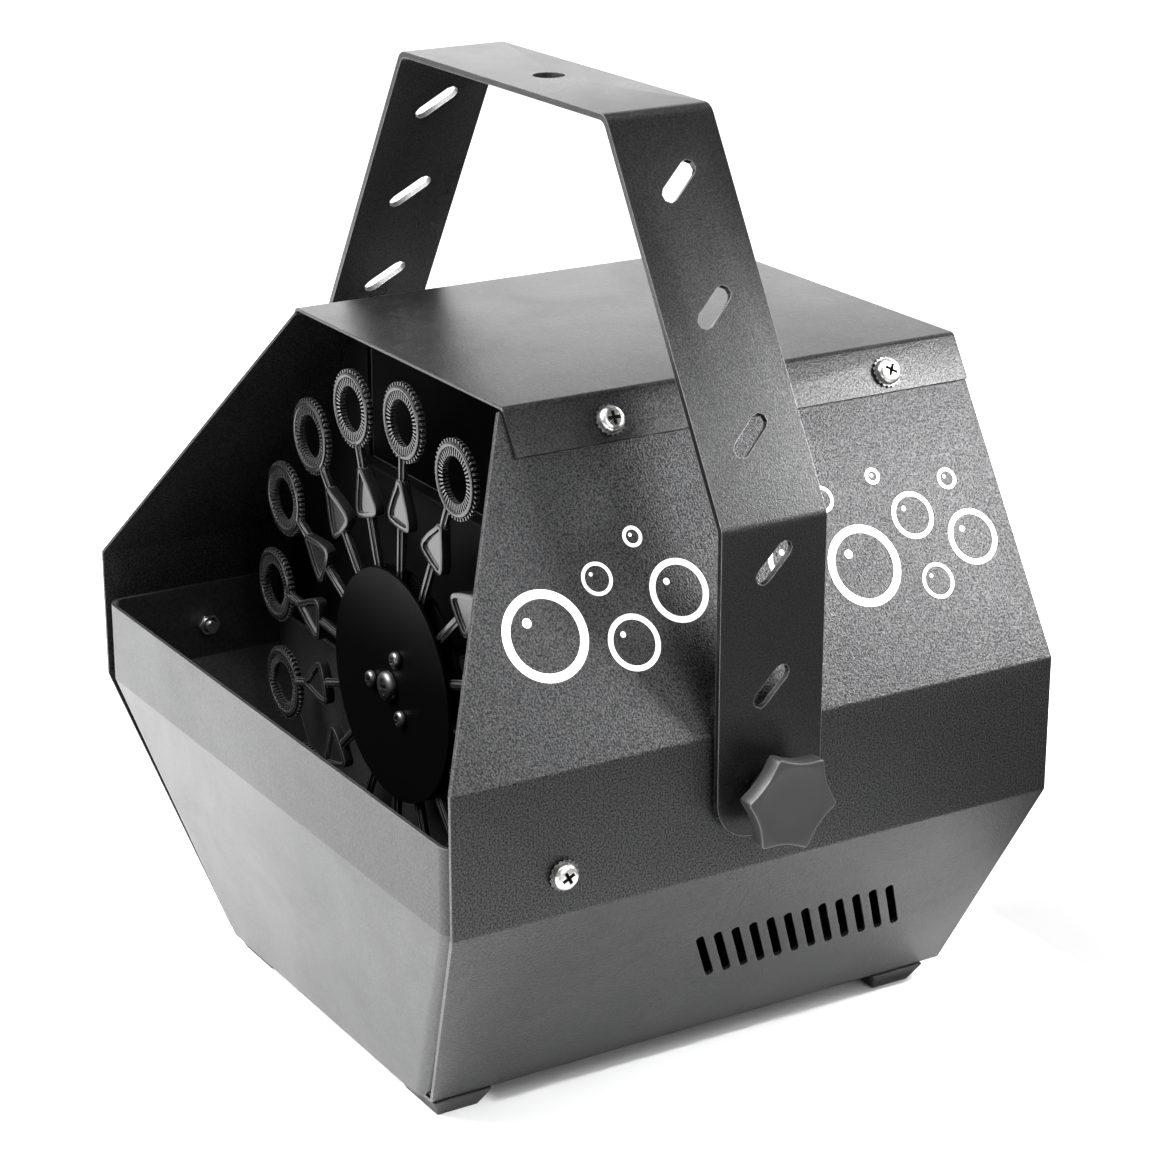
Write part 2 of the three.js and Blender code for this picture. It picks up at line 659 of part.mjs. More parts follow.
function panScrew(headRadius, headHeight, shankRadius, shankLength, washerRadius = 0) {
  const washer = washerRadius > 0 ? 0.6 : 0;
  const profile = [
    [0, -shankLength],
    [shankRadius, -shankLength],
    [shankRadius, 0],
    ...(washer ? [[washerRadius, 0], [washerRadius, washer]] : []),
    [headRadius, washer],
    [headRadius, washer + headHeight * 0.55],
    [headRadius * 0.7, washer + headHeight],
    [0, washer + headHeight],
  ].map(([r, z]) => new THREE.Vector2(r, z));
  return new THREE.LatheGeometry(profile, 12).rotateX(QUARTER);
}

function hexNut(acrossFlats, thickness, bore) {
  const radius = acrossFlats / Math.sqrt(3);
  const body = new THREE.CylinderGeometry(radius, radius, thickness, 6).rotateX(QUARTER);
  return combine([body.translate(0, 0, thickness / 2)], [rodZ(bore, -1, thickness + 1, 12)]);
}

function flatRing(outer, bore, thickness) {
  return prismZ(ringShape(outer, bore, 20), 0, thickness);
}

// ---- Yoke and knobs ----

const YOKE_BEND_X = YOKE_LEG_X - YOKE_TOP_HALF;
const YOKE_DOWN = new THREE.Vector3(YOKE_BEND_X, 0, YOKE_KNEE_Z - YOKE_TOP_Z).normalize();
const YOKE_NORMAL = new THREE.Vector3(-YOKE_DOWN.z, 0, YOKE_DOWN.x);

function yoke() {
  const outer = [
    [-YOKE_LEG_X, YOKE_END_Z],
    [-YOKE_LEG_X, YOKE_KNEE_Z],
    [-YOKE_TOP_HALF, YOKE_TOP_Z],
    [YOKE_TOP_HALF, YOKE_TOP_Z],
    [YOKE_LEG_X, YOKE_KNEE_Z],
    [YOKE_LEG_X, YOKE_END_Z],
  ];
  const [low, high] = [PIVOT_Y - YOKE_WIDTH / 2, PIVOT_Y + YOKE_WIDTH / 2];
  const strip = prismY(foldedStrip(outer, -YOKE_SHEET, 5), low, high);
  const sideView = new THREE.Shape();
  sideView.moveTo(high, YOKE_TOP_Z + 1);
  sideView.lineTo(low, YOKE_TOP_Z + 1);
  const cornerZ = YOKE_END_Z + YOKE_END_CORNER;
  sideView.absarc(low + YOKE_END_CORNER, cornerZ, YOKE_END_CORNER, Math.PI, 1.5 * Math.PI, false);
  sideView.absarc(high - YOKE_END_CORNER, cornerZ, YOKE_END_CORNER, 1.5 * Math.PI, 2 * Math.PI, false);
  const ends = prismX(sideView, -YOKE_LEG_X - 1, YOKE_LEG_X + 1, 3);

  const holes = [
    rodX(STUD_HOLE, -YOKE_LEG_X - 1, YOKE_LEG_X + 1, PIVOT_Y, PIVOT_Z),
    rodZ(5, YOKE_TOP_Z - 5, YOKE_TOP_Z + 5).translate(0, PIVOT_Y, 0),
  ];
  const addSlots = (point, normal, down, { length, slant }) => {
    const slot = () => slotCutter(length, YOKE_SLOT_WIDTH, 10);
    const along = AXIS.y.clone().multiplyScalar(slant).sub(down);
    holes.push(placeOn(slot(), point, normal, along));
    const mirrored = (v) => new THREE.Vector3(-v.x, v.y, v.z);
    holes.push(placeOn(slot(), mirrored(point), mirrored(normal), mirrored(along)));
  };
  YOKE_SLANT_SLOTS.drops.forEach((drop) => {
    const point = new THREE.Vector3(YOKE_TOP_HALF, PIVOT_Y, YOKE_TOP_Z);
    point.addScaledVector(YOKE_DOWN, drop);
    addSlots(point, YOKE_NORMAL, YOKE_DOWN, YOKE_SLANT_SLOTS);
  });
  YOKE_LEG_SLOTS.zs.forEach((z) => {
    const point = new THREE.Vector3(YOKE_LEG_X, PIVOT_Y, z);
    addSlots(point, AXIS.x, AXIS.z.clone().negate(), YOKE_LEG_SLOTS);
  });
  return combine([strip], holes, [ends]);
}

// A knob points along +X from the pivot: a six-cornered head on a boss, with its threaded stud
function knob() {
  const bossX = YOKE_LEG_X + GAP;
  const headX = 130.5;
  const faceX = 136;
  const points = [];
  const perSide = 8;
  const halfSide = Math.PI / KNOB_SIDES;
  for (let i = 0; i < KNOB_SIDES * perSide; i += 1) {
    const fromMiddle = (((i % perSide) + 0.5) / perSide - 0.5) * 2 * halfSide;
    const hollow = KNOB_DIP * (1 - (fromMiddle / halfSide) ** 2);
    const side = (KNOB_TIP * Math.cos(halfSide) - hollow) / Math.cos(fromMiddle);
    const radius = Math.min(side, KNOB_TIP - KNOB_ROUND);
    const angle = KNOB_TURN + halfSide * (2 * Math.floor(i / perSide) + 1) + fromMiddle;
    points.push([radius * Math.cos(angle), radius * Math.sin(angle)]);
  }
  return combine([
    prismX(shapeOf(points), headX, faceX),
    new THREE.CylinderGeometry(9, 7.5, headX + 1 - bossX, 24)
      .rotateZ(-QUARTER)
      .translate((bossX + headX + 1) / 2, 0, 0),
    rodX(STUD_RADIUS, MID_HALF - 10.5, headX),
  ]);
}

// ---- Feet and electrical fittings ----

function foot() {
  const top = FOOT_HEIGHT - GAP;
  const body = new THREE.CylinderGeometry(
    FOOT_TOP_HALF * Math.SQRT2, FOOT_BOTTOM_HALF * Math.SQRT2, top, 4,
  ).rotateY(Math.PI / 4).rotateX(QUARTER).scale(FOOT_STRETCH, 1, 1).translate(0, 0, top / 2);
  return combine([body], [rodZ(3.6, -1, 3.5, 16)]);
}

const FLUSH_Y = REAR_PANEL_Y + SHEET + GAP;

// An appliance inlet with a fuse drawer below its socket, seen from behind
function powerInlet() {
  const socket = shapeOf([[-12.2, 13], [-12.2, 1], [-8, -3.4], [8, -3.4], [12.2, 1], [12.2, 13]]);
  const pins = [[-7, 3], [7, 3], [0, 7.5]];
  const shell = combine(
    [
      block(-25, 25, FLUSH_Y, FLUSH_Y + 2.4, -15.5, 15.5),
      block(-14, 14, FLUSH_Y - 26, FLUSH_Y + 1, -14.4, 14.4),
    ],
    [
      prismY(socket, FLUSH_Y - 13, FLUSH_Y + 4),
      block(-10.2, 10.2, FLUSH_Y - 22, FLUSH_Y + 4, -13.4, -5.6),
    ],
  );
  return combine([
    shell,
    ...pins.map(([x, z]) => block(x - 1, x + 1, FLUSH_Y - 14, FLUSH_Y - 1, z - 2, z + 2)),
  ]);
}

function fuseDrawer() {
  return combine([
    block(-9.8, 9.8, FLUSH_Y + 0.4, FLUSH_Y + 3, -13, -6),
    block(-8.5, 8.5, FLUSH_Y - 21, FLUSH_Y + 1, -12.4, -6.6),
  ]);
}

function switchBody() {
  return combine(
    [
      block(-7.5, 7.5, FLUSH_Y, FLUSH_Y + 2, -10.5, 10.5),
      block(-6.5, 6.5, FLUSH_Y - 18, FLUSH_Y + 1, -9.5, 9.5),
    ],
    [block(-5.4, 5.4, FLUSH_Y - 9, FLUSH_Y + 3, -8.8, 8.8)],
  );
}

// The rocker turns about the local X axis
function switchRocker() {
  const side = shapeOf([
    [-5.5, -2.5], [0, -7.4], [4.4, -7.6], [3.2, 0], [4.4, 7.6], [0, 7.4], [-5.5, 2.5],
  ]);
  return prismX(side, -5, 5);
}

function terminalBlock() {
  const steps = [];
  const ways = 5;
  const pitch = 9;
  for (let i = 0; i < ways; i += 1) {
    const start = i * pitch;
    steps.push([start, 0], [start, 12], [start + 2, 15], [start + 6, 15], [start + 8, 12], [start + 8, 4]);
    if (i < ways - 1) steps.push([start + pitch, 4]);
  }
  const outline = steps.filter(([, height], i) => i === 0 || height > 0);
  outline.push([(ways - 1) * pitch + 8, 0]);
  return prismY(shapeOf(outline.reverse()), -9, 9);
}

// ---- Assembly ----

const machine = new THREE.Group();
machine.name = 'bubble_machine';

function add(name, geometry, material, position = [0, 0, 0]) {
  const mesh = new THREE.Mesh(geometry, material.clone());
  mesh.name = name;
  mesh.position.set(...position);
  machine.add(mesh);
  return mesh;
}

// Turns a piece built along +Z so that it stands on a surface with the given normal
function addOn(name, geometry, material, point, normal) {
  const mesh = add(name, geometry, material, point.toArray());
  mesh.quaternion.setFromUnitVectors(AXIS.z, normal);
  return mesh;
}

const SIDES = [['right', 1], ['left', -1]];
const outward = (side) => AXIS.x.clone().multiplyScalar(side);

const rightPanel = sidePanel();
add('right_side_panel', rightPanel, MATERIALS.casePaint);
add('left_side_panel', mirrorX(rightPanel), MATERIALS.casePaint);
add('top_cover', topCover(), MATERIALS.casePaint);
add('base_plate', basePlate(), MATERIALS.casePaint);
add('rear_panel', rearPanel(), MATERIALS.casePaint);
add('partition', partition(), MATERIALS.casePaint);
add('fluid_tray', fluidTray(), MATERIALS.trayPaint);
add('air_duct', airDuct(), MATERIALS.fan);
add('fan_frame', fanFrame(), MATERIALS.fan);
add('fan_rotor', fanRotor(), MATERIALS.fan, [0, 0, FAN_Z]);
add('finger_guard', fingerGuard(), MATERIALS.wire);

const wheelCentre = [0, 0, WHEEL_Z];
add('wheel_motor', wheelMotor(), MATERIALS.motor, wheelCentre);
add('motor_shaft', motorShaft(), MATERIALS.screw, wheelCentre);
add('wheel_hub', wheelHub(), MATERIALS.wand, wheelCentre);
add('front_disc', disc(2.3), MATERIALS.wand, [0, FRONT_DISC_Y, WHEEL_Z]);
add('rear_disc', disc(8), MATERIALS.wand, [0, REAR_DISC_Y, WHEEL_Z]);
const wandGeometry = wand();
for (let i = 0; i < WAND_COUNT; i += 1) {
  const name = `wand_${String(i + 1).padStart(2, '0')}`;
  const mesh = add(name, wandGeometry, MATERIALS.wand, [0, WHEEL_Y, WHEEL_Z]);
  mesh.rotation.y = -(WAND_FIRST_ANGLE + (i * 2 * Math.PI) / WAND_COUNT);
}

const forward = AXIS.y.clone().negate();
const headY = FRONT_DISC_Y - GAP;
addOn(
  'hub_screw', panScrew(4.9, 2.6, 1.6, 9.5), MATERIALS.screw,
  new THREE.Vector3(0, headY, WHEEL_Z), forward,
);
DISC_SCREW_ANGLES.forEach((angle, i) => {
  const x = DISC_SCREW_CIRCLE * Math.cos(angle);
  const z = WHEEL_Z + DISC_SCREW_CIRCLE * Math.sin(angle);
  const point = new THREE.Vector3(x, headY, z);
  addOn(`disc_screw_${i + 1}`, panScrew(2.8, 1.8, 1.5, 11), MATERIALS.screw, point, forward);
});

add('yoke', yoke(), MATERIALS.yokePaint);
SIDES.forEach(([name, side]) => {
  const knobMesh = add(`${name}_knob`, knob(), MATERIALS.knob, [0, PIVOT_Y, PIVOT_Z]);
  knobMesh.rotation.z = side > 0 ? 0 : Math.PI;
  addOn(
    `${name}_friction_washer`, flatRing(12, STUD_HOLE, 0.9), MATERIALS.rubber,
    new THREE.Vector3(side * (MID_HALF + GAP), PIVOT_Y, PIVOT_Z), outward(side),
  );
  addOn(
    `${name}_press_nut`, flatRing(8, STUD_HOLE - 0.2, 6), MATERIALS.screw,
    new THREE.Vector3(side * (MID_HALF - SHEET - GAP), PIVOT_Y, PIVOT_Z), outward(-side),
  );
  addOn(
    `${name}_tray_screw`, panScrew(4, 2.4, 2, 9, 4.65), MATERIALS.screw,
    new THREE.Vector3(side * (MID_HALF + GAP), TRAY_SCREW_Y, TRAY_SCREW_Z), outward(side),
  );
  addOn(
    `${name}_tray_nut`, hexNut(7, 3.2, 2.4), MATERIALS.screw,
    new THREE.Vector3(side * (TRAY_MID_HALF - SHEET - GAP), TRAY_SCREW_Y, TRAY_SCREW_Z), outward(-side),
  );
  COVER_SCREW_YS.forEach((y, i) => {
    const point = coverScrewPoint(y).addScaledVector(UPPER_NORMAL, GAP);
    const normal = UPPER_NORMAL.clone();
    point.x *= side;
    normal.x *= side;
    const place = i === 0 ? 'front' : 'rear';
    addOn(
      `${name}_${place}_cover_screw`, panScrew(4, 2.4, 2, 9, 4.65), MATERIALS.screw, point, normal,
    );
  });
  Object.entries(FOOT_YS).forEach(([place, y]) => {
    add(`${name}_${place}_foot`, foot(), MATERIALS.rubber, [side * FOOT_X, y, 0]);
  });
});

add('power_inlet', powerInlet(), MATERIALS.fitting, [INLET.x, 0, INLET.z]);
add('fuse_drawer', fuseDrawer(), MATERIALS.fitting, [INLET.x, 0, INLET.z]);
add('switch_body', switchBody(), MATERIALS.fitting, [SWITCH.x, 0, SWITCH.z]);
const rockerMesh = add(
  'switch_rocker', switchRocker(), MATERIALS.fitting, [SWITCH.x, FLUSH_Y - 0.8, SWITCH.z],
);
rockerMesh.rotation.x = -ROCKER_REST;
add('terminal_block', terminalBlock(), MATERIALS.terminal, [-22, 30, BASE_Z + SHEET + GAP]);

export default machine;
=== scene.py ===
# %% [markdown]
# # A bubble machine in folded steel
#
# The machine is a six-sided case of powder-coated sheet steel. A wheel of sixteen small wands turns
# in a tray of bubble fluid at the open front, a fan behind it blows through the wands, and a yoke
# with two clamp knobs carries the whole case. The solid model already has every part at its true
# size. This lesson gives those parts the finish that makes them look made: soft edges, moulded
# detail, paint, plated steel and plastic.

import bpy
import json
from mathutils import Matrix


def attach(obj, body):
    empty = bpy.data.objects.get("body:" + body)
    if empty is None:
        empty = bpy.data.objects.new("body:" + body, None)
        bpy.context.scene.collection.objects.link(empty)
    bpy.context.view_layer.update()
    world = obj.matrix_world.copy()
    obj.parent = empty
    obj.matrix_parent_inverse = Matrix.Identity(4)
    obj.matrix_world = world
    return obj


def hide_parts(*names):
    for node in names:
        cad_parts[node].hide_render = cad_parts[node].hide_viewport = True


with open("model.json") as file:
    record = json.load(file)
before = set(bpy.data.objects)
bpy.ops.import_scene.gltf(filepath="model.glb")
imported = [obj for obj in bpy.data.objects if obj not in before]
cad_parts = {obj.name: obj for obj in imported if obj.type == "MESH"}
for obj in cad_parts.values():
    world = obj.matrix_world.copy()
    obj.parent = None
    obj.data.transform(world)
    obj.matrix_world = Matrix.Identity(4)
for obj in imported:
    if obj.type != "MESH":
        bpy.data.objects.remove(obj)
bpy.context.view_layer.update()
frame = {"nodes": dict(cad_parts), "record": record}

# %% [markdown]
# ## Units and small helpers
#
# The solid model is in metres, and the parts are easier to think about in millimetres. Each new
# piece is therefore drawn in millimetres and scaled once, as it becomes a mesh. Its place goes into
# the mesh too, so the object itself stays at the origin, and patterns on object coordinates don't
# slide over it.

# %% Units and a maker for finished pieces
import json
from math import atan2, cos, pi, radians, sin, tau

import bmesh
import bpy
from mathutils import Matrix, Vector

MM = 0.001
scene = bpy.context.scene
slot_of = {row["node"]: row["material_slot"] for row in frame["record"]["subparts"]}
made = {"pieces": 0, "faces": 0}


def make_piece(name, bm, material, body, slot=None, place=None, stands_for=(), smooth=38):
    """Turns a bmesh in millimetres into a finished object that rides on a body.

    The material may be several, which the faces then choose from by number.
    """
    place = place or Matrix()
    bmesh.ops.transform(bm, matrix=Matrix.Scale(MM, 4) @ place, verts=bm.verts)
    if place.determinant() < 0:
        bmesh.ops.reverse_faces(bm, faces=bm.faces)
    mesh = bpy.data.meshes.new(name)
    bm.to_mesh(mesh)
    bm.free()
    mesh.shade_smooth()
    mesh.set_sharp_from_angle(angle=radians(smooth))
    for each in material if isinstance(material, tuple) else [material]:
        mesh.materials.append(each)
    piece = bpy.data.objects.new(name, mesh)
    scene.collection.objects.link(piece)
    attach(piece, body)
    if stands_for:
        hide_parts(*stands_for)
        slot = slot or slot_of[stands_for[0]]
    made["pieces"] += 1
    made["faces"] += len(mesh.polygons)
    return piece


def stand_on(point, normal, turn=0.0):
    """A place at a point, with local +Z along the normal."""
    facing = Vector(normal).to_track_quat("Z", "Y").to_matrix().to_4x4()
    return Matrix.Translation(point) @ facing @ Matrix.Rotation(turn, 4, "Z")


# %% [markdown]
# ## Shapes that the small parts share
#
# Screws, washers, knobs and rings are either turned or lofted. A turned part is a half profile spun
# round the axis. A lofted part joins rings of the same count, and a rule that moves each ring's
# corners in or out gives a cross recess, a serrated washer or a hollow-sided grip. Both start from
# bmesh operators, so there are no face lists to keep in step.

# %% Turned, lofted and softened shapes
TOUCHING = 0.0005


def spun(profile, steps, closed=False):
    """A solid of revolution about +Z from (radius, height) points."""
    bm = bmesh.new()
    points = [bm.verts.new((radius, 0, height)) for radius, height in profile]
    edges = [bm.edges.new(pair) for pair in zip(points, points[1:])]
    if closed:
        edges.append(bm.edges.new((points[-1], points[0])))
    bmesh.ops.spin(
        bm, geom=points + edges, axis=(0, 0, 1), angle=tau, steps=steps, use_merge=True
    )
    bmesh.ops.remove_doubles(bm, verts=bm.verts, dist=TOUCHING)
    bmesh.ops.recalc_face_normals(bm, faces=bm.faces)
    return bm


def lofted(rings, sides):
    """A closed solid through rings of (radius, height, shape), where shape scales by angle."""
    bm = bmesh.new()
    loops = []
    for radius, height, shape in rings:
        ring = bmesh.ops.create_circle(bm, segments=sides, radius=radius)["verts"]
        for corner in ring:
            factor = shape(atan2(corner.co.y, corner.co.x)) if shape else 1.0
            corner.co = Vector((corner.co.x * factor, corner.co.y * factor, height))
        loops.append(list({edge for corner in ring for edge in corner.link_edges}))
    for low, high in zip(loops, loops[1:]):
        bmesh.ops.bridge_loops(bm, edges=low + high)
    bmesh.ops.contextual_create(bm, geom=loops[0])
    bmesh.ops.contextual_create(bm, geom=loops[-1])
    bmesh.ops.recalc_face_normals(bm, faces=bm.faces)
    return bm


def soft_edges(bm, width, segments=2, from_angle=30):
    """Rounds every edge that turns by more than from_angle degrees."""
    limit = radians(from_angle)
    shared = [edge for edge in bm.edges if edge.is_manifold]
    hard = [edge for edge in shared if edge.calc_face_angle(0) > limit]
    bmesh.ops.bevel(
        bm, geom=hard, offset=width, offset_type="OFFSET", segments=segments,
        profile=0.5, affect="EDGES", material=-1, clamp_overlap=True,
    )
    return bm


def add_block(bm, size, centre, turn=None):
    """Adds a box of that size to a bmesh, turned after it is placed."""
    place = Matrix.Translation(centre) @ Matrix.Diagonal((*size, 1))
    bmesh.ops.create_cube(bm, size=1, matrix=turn @ place if turn else place)


def merged(first, *others):
    """One bmesh that holds several, each as its own closed shell."""
    for other in others:
        joined = bpy.data.meshes.new("joining")
        other.to_mesh(joined)
        other.free()
        first.from_mesh(joined)
        bpy.data.meshes.remove(joined)
    return first


print("shapes: turned, lofted, softened, block, merged")

# %% [markdown]
# ## Shader groups
#
# Four effects come back on several materials, so each is a node group with its own inputs. The
# powder grain is the pebbly skin of baked powder paint: its height makes the bumps, and its speckle
# marks the grains that glint. The edge group finds the edges by comparing the true normal with one
# rounded over a small radius, and paints a paler line there: partly thin, worn paint, mostly a
# painted highlight where the edges would catch the light. Handling marks are broad and soft, and
# change only the gloss. Settled dust lies where a surface faces up. The groups give values and
# masks, and the shader stays in each material.

# %% A group maker
def new_group(name, inputs, outputs):
    """A shader group with named float or vector sockets."""
    group = bpy.data.node_groups.new(name, "ShaderNodeTree")
    for label, kind, value in inputs:
        socket = group.interface.new_socket(label, in_out="INPUT", socket_type=f"NodeSocket{kind}")
        if value is not None:
            socket.default_value = value
    for label, kind in outputs:
        group.interface.new_socket(label, in_out="OUTPUT", socket_type=f"NodeSocket{kind}")
    start = group.nodes.new("NodeGroupInput")
    end = group.nodes.new("NodeGroupOutput")
    return group, start.outputs, end.inputs


def node(tree, kind, settings=None, **sockets):
    """Adds a node, sets its properties, and links or sets the sockets named in words."""
    new = tree.nodes.new(f"ShaderNode{kind}")
    for label, value in (settings or {}).items():
        setattr(new, label, value)
    for label, value in sockets.items():
        key = int(label[1:]) if label[0] == "_" else label.replace("_", " ")
        if isinstance(value, bpy.types.NodeSocket):
            tree.links.new(value, new.inputs[key])
        else:
            new.inputs[key].default_value = value
    return new


def remap(tree, value, low, high, new_low, new_high):
    """A clamped change of range."""
    changed = node(
        tree, "MapRange", Value=value, From_Min=low, From_Max=high, To_Min=new_low, To_Max=new_high
    )
    return changed.outputs["Result"]


print("group maker ready")

# %% Powder grain
WAVES_PER_METRE = 260.0
powder_grain, given, gives = new_group(
    "Powder grain",
    [("Vector", "Vector", None), ("Grains per metre", "Float", 1300.0), ("Ripple", "Float", 0.5)],
    [("Height", "Float"), ("Speckle", "Float")],
)
pebbles = node(
    powder_grain, "TexNoise", Vector=given["Vector"], Scale=given["Grains per metre"],
    Detail=2.0, Roughness=0.5,
)
waves = node(
    powder_grain, "TexNoise", Vector=given["Vector"], Scale=WAVES_PER_METRE, Detail=1.0
)
waves_part = node(
    powder_grain, "Math", {"operation": "MULTIPLY"}, _0=waves.outputs["Fac"], _1=given["Ripple"]
)
both = node(
    powder_grain, "Math", {"operation": "ADD"},
    _0=pebbles.outputs["Fac"], _1=waves_part.outputs[0],
)
powder_grain.links.new(both.outputs[0], gives["Height"])
powder_grain.links.new(
    remap(powder_grain, pebbles.outputs["Fac"], 0.35, 0.68, 0.0, 1.0), gives["Speckle"]
)
print("powder grain", len(powder_grain.nodes), "nodes")

# %% Edges: wear and painted highlight
PATCHES_PER_METRE = 90.0
edge_wear_and_highlight, given, gives = new_group(
    "Edge wear and painted highlight",
    [("Vector", "Vector", None), ("Radius", "Float", 0.0004), ("Patchiness", "Float", 0.3)],
    [("Edge", "Float")],
)
rounded = node(edge_wear_and_highlight, "Bevel", {"samples": 4}, Radius=given["Radius"])
true_normal = node(edge_wear_and_highlight, "NewGeometry")
agreement = node(
    edge_wear_and_highlight, "VectorMath", {"operation": "DOT_PRODUCT"},
    _0=rounded.outputs["Normal"], _1=true_normal.outputs["Normal"],
)
edge_line = remap(edge_wear_and_highlight, agreement.outputs["Value"], 0.99, 0.86, 0.0, 1.0)
patches = node(
    edge_wear_and_highlight, "TexNoise", Vector=given["Vector"], Scale=PATCHES_PER_METRE, Detail=3.0
)
patch_part = node(
    edge_wear_and_highlight, "Math", {"operation": "MULTIPLY"},
    _0=remap(edge_wear_and_highlight, patches.outputs["Fac"], 0.35, 0.65, 0.0, 1.0), _1=given["Patchiness"],
)
kept_part = node(edge_wear_and_highlight, "Math", {"operation": "SUBTRACT"}, _0=1.0, _1=patch_part.outputs[0])
edge_mask = node(
    edge_wear_and_highlight, "Math", {"operation": "MULTIPLY", "use_clamp": True},
    _0=edge_line, _1=kept_part.outputs[0],
)
edge_wear_and_highlight.links.new(edge_mask.outputs[0], gives["Edge"])
print("edge wear", len(edge_wear_and_highlight.nodes), "nodes")

# %% Handling marks
handling_marks, given, gives = new_group(
    "Handling marks",
    [("Vector", "Vector", None), ("Size", "Float", 22.0)],
    [("Smudge", "Float")],
)
smears = node(
    handling_marks, "TexNoise", Vector=given["Vector"], Scale=given["Size"], Detail=4.0,
    Roughness=0.62, Distortion=0.6,
)
handling_marks.links.new(
    remap(handling_marks, smears.outputs["Fac"], 0.35, 0.7, 0.0, 1.0), gives["Smudge"]
)
print("handling marks", len(handling_marks.nodes), "nodes")

# %% Settled dust
MOTES_PER_METRE = 420.0
settled_dust, given, gives = new_group(
    "Settled dust",
    [("Vector", "Vector", None), ("Normal", "Vector", None), ("Amount", "Float", 0.1)],
    [("Dust", "Float")],
)
facing = node(settled_dust, "SeparateXYZ", Vector=given["Normal"])
upward = remap(settled_dust, facing.outputs["Z"], 0.35, 0.95, 0.0, 1.0)
motes = node(
    settled_dust, "TexNoise", Vector=given["Vector"], Scale=MOTES_PER_METRE, Detail=5.0
)
mote_mask = remap(settled_dust, motes.outputs["Fac"], 0.5, 0.75, 0.0, 1.0)
lying = node(settled_dust, "Math", {"operation": "MULTIPLY"}, _0=upward, _1=mote_mask)
dust_mask = node(
    settled_dust, "Math", {"operation": "MULTIPLY", "use_clamp": True},
    _0=lying.outputs[0], _1=given["Amount"],
)
settled_dust.links.new(dust_mask.outputs[0], gives["Dust"])
print("settled dust", len(settled_dust.nodes), "nodes")

# %% [markdown]
# ## Materials
#
# Every finish is one Principled shader fed by the groups above with its own values. Painted steel
# is nearly black with a half-gloss skin, so what shows on it is mostly reflection, broken up by the
# grain. Powder paint also sparkles. Its shine is set for the brightest grains, and the speckle turns
# the others part metal, because a metal this black gives back very little light. Inside the case the
# paint is a darker copy, which is painted shade, and the paler edge colours are painted highlights
# with a little wear. The wands and discs are glossier moulded plastic. The screws are nickel plate,
# with painted shade in the cross and a blackened washer, and those of the wheel are blackened all
# over. The knobs are a dull, slightly greyer plastic whose moulded edges carry a painted highlight.

# %% One maker for all the finishes
DUST_GREY = (0.3, 0.29, 0.27, 1)
PLAIN_LEVEL = 0.5


def metal_between_grains(index, sparkle, darkness):
    """The share of black metal that takes the brightest grain's reflection down to the dullest's."""
    head_on = ((index - 1) / (index + 1)) ** 2
    brightest = head_on * (1 + sparkle / PLAIN_LEVEL)
    dullest = head_on * (1 - sparkle / PLAIN_LEVEL)
    return (brightest - dullest) / (brightest - darkness)


def finish(
    name, colour, gloss, metal=0.0, grain=0.0, grains=1300.0, ripple=0.5, edge=None,
    edge_radius=0.0004, patchiness=0.3, dust=0.0, smudge=0.06, marks=22.0, index=1.4, sparkle=0.0,
):
    """A material. gloss is the roughness, grain the bump's height in millimetres."""
    material = bpy.data.materials.new(name)
    material.use_nodes = True
    tree = material.node_tree
    tree.nodes.clear()
    place = node(tree, "TexCoord").outputs
    shader = node(
        tree, "BsdfPrincipled", Metallic=metal, IOR=index, Specular_IOR_Level=PLAIN_LEVEL + sparkle
    )
    node(tree, "OutputMaterial", Surface=shader.outputs["BSDF"])

    def group(which, **sockets):
        new = tree.nodes.new("ShaderNodeGroup")
        new.node_tree = which
        for label, value in sockets.items():
            key = label.replace("_", " ")
            if isinstance(value, bpy.types.NodeSocket):
                tree.links.new(value, new.inputs[key])
            else:
                new.inputs[key].default_value = value
        return new.outputs

    smudges = group(handling_marks, Vector=place["Object"], Size=marks)["Smudge"]
    rough = remap(tree, smudges, 0.0, 1.0, gloss, gloss + smudge)
    skin = (*colour, 1)
    # The edge colour is a painted highlight along the edges, with a little wear.
    if edge:
        line = group(
            edge_wear_and_highlight, Vector=place["Object"], Radius=edge_radius, Patchiness=patchiness
        )["Edge"]
        mixed = node(tree, "Mix", {"data_type": "RGBA"}, _0=line, _6=skin, _7=(*edge, 1))
        skin = mixed.outputs[2]
    if dust:
        lying = group(settled_dust, Vector=place["Object"], Normal=place["Normal"], Amount=dust)
        mixed = node(tree, "Mix", {"data_type": "RGBA"}, _0=lying["Dust"], _6=skin, _7=DUST_GREY)
        skin = mixed.outputs[2]
    if isinstance(skin, tuple):
        shader.inputs["Base Color"].default_value = skin
    else:
        tree.links.new(skin, shader.inputs["Base Color"])
    tree.links.new(rough, shader.inputs["Roughness"])
    if grain:
        pebble = group(
            powder_grain, Vector=place["Object"], Grains_per_metre=grains, Ripple=ripple
        )
        bump = node(tree, "Bump", Strength=1.0, Distance=grain * MM, Height=pebble["Height"])
        tree.links.new(bump.outputs["Normal"], shader.inputs["Normal"])
        if sparkle:
            most_metal = metal_between_grains(index, sparkle, colour[0])
            dulled = remap(tree, pebble["Speckle"], 0.0, 1.0, most_metal, 0.0)
            tree.links.new(dulled, shader.inputs["Metallic"])
    return material


print("finish maker ready; output of each is one Principled shader")

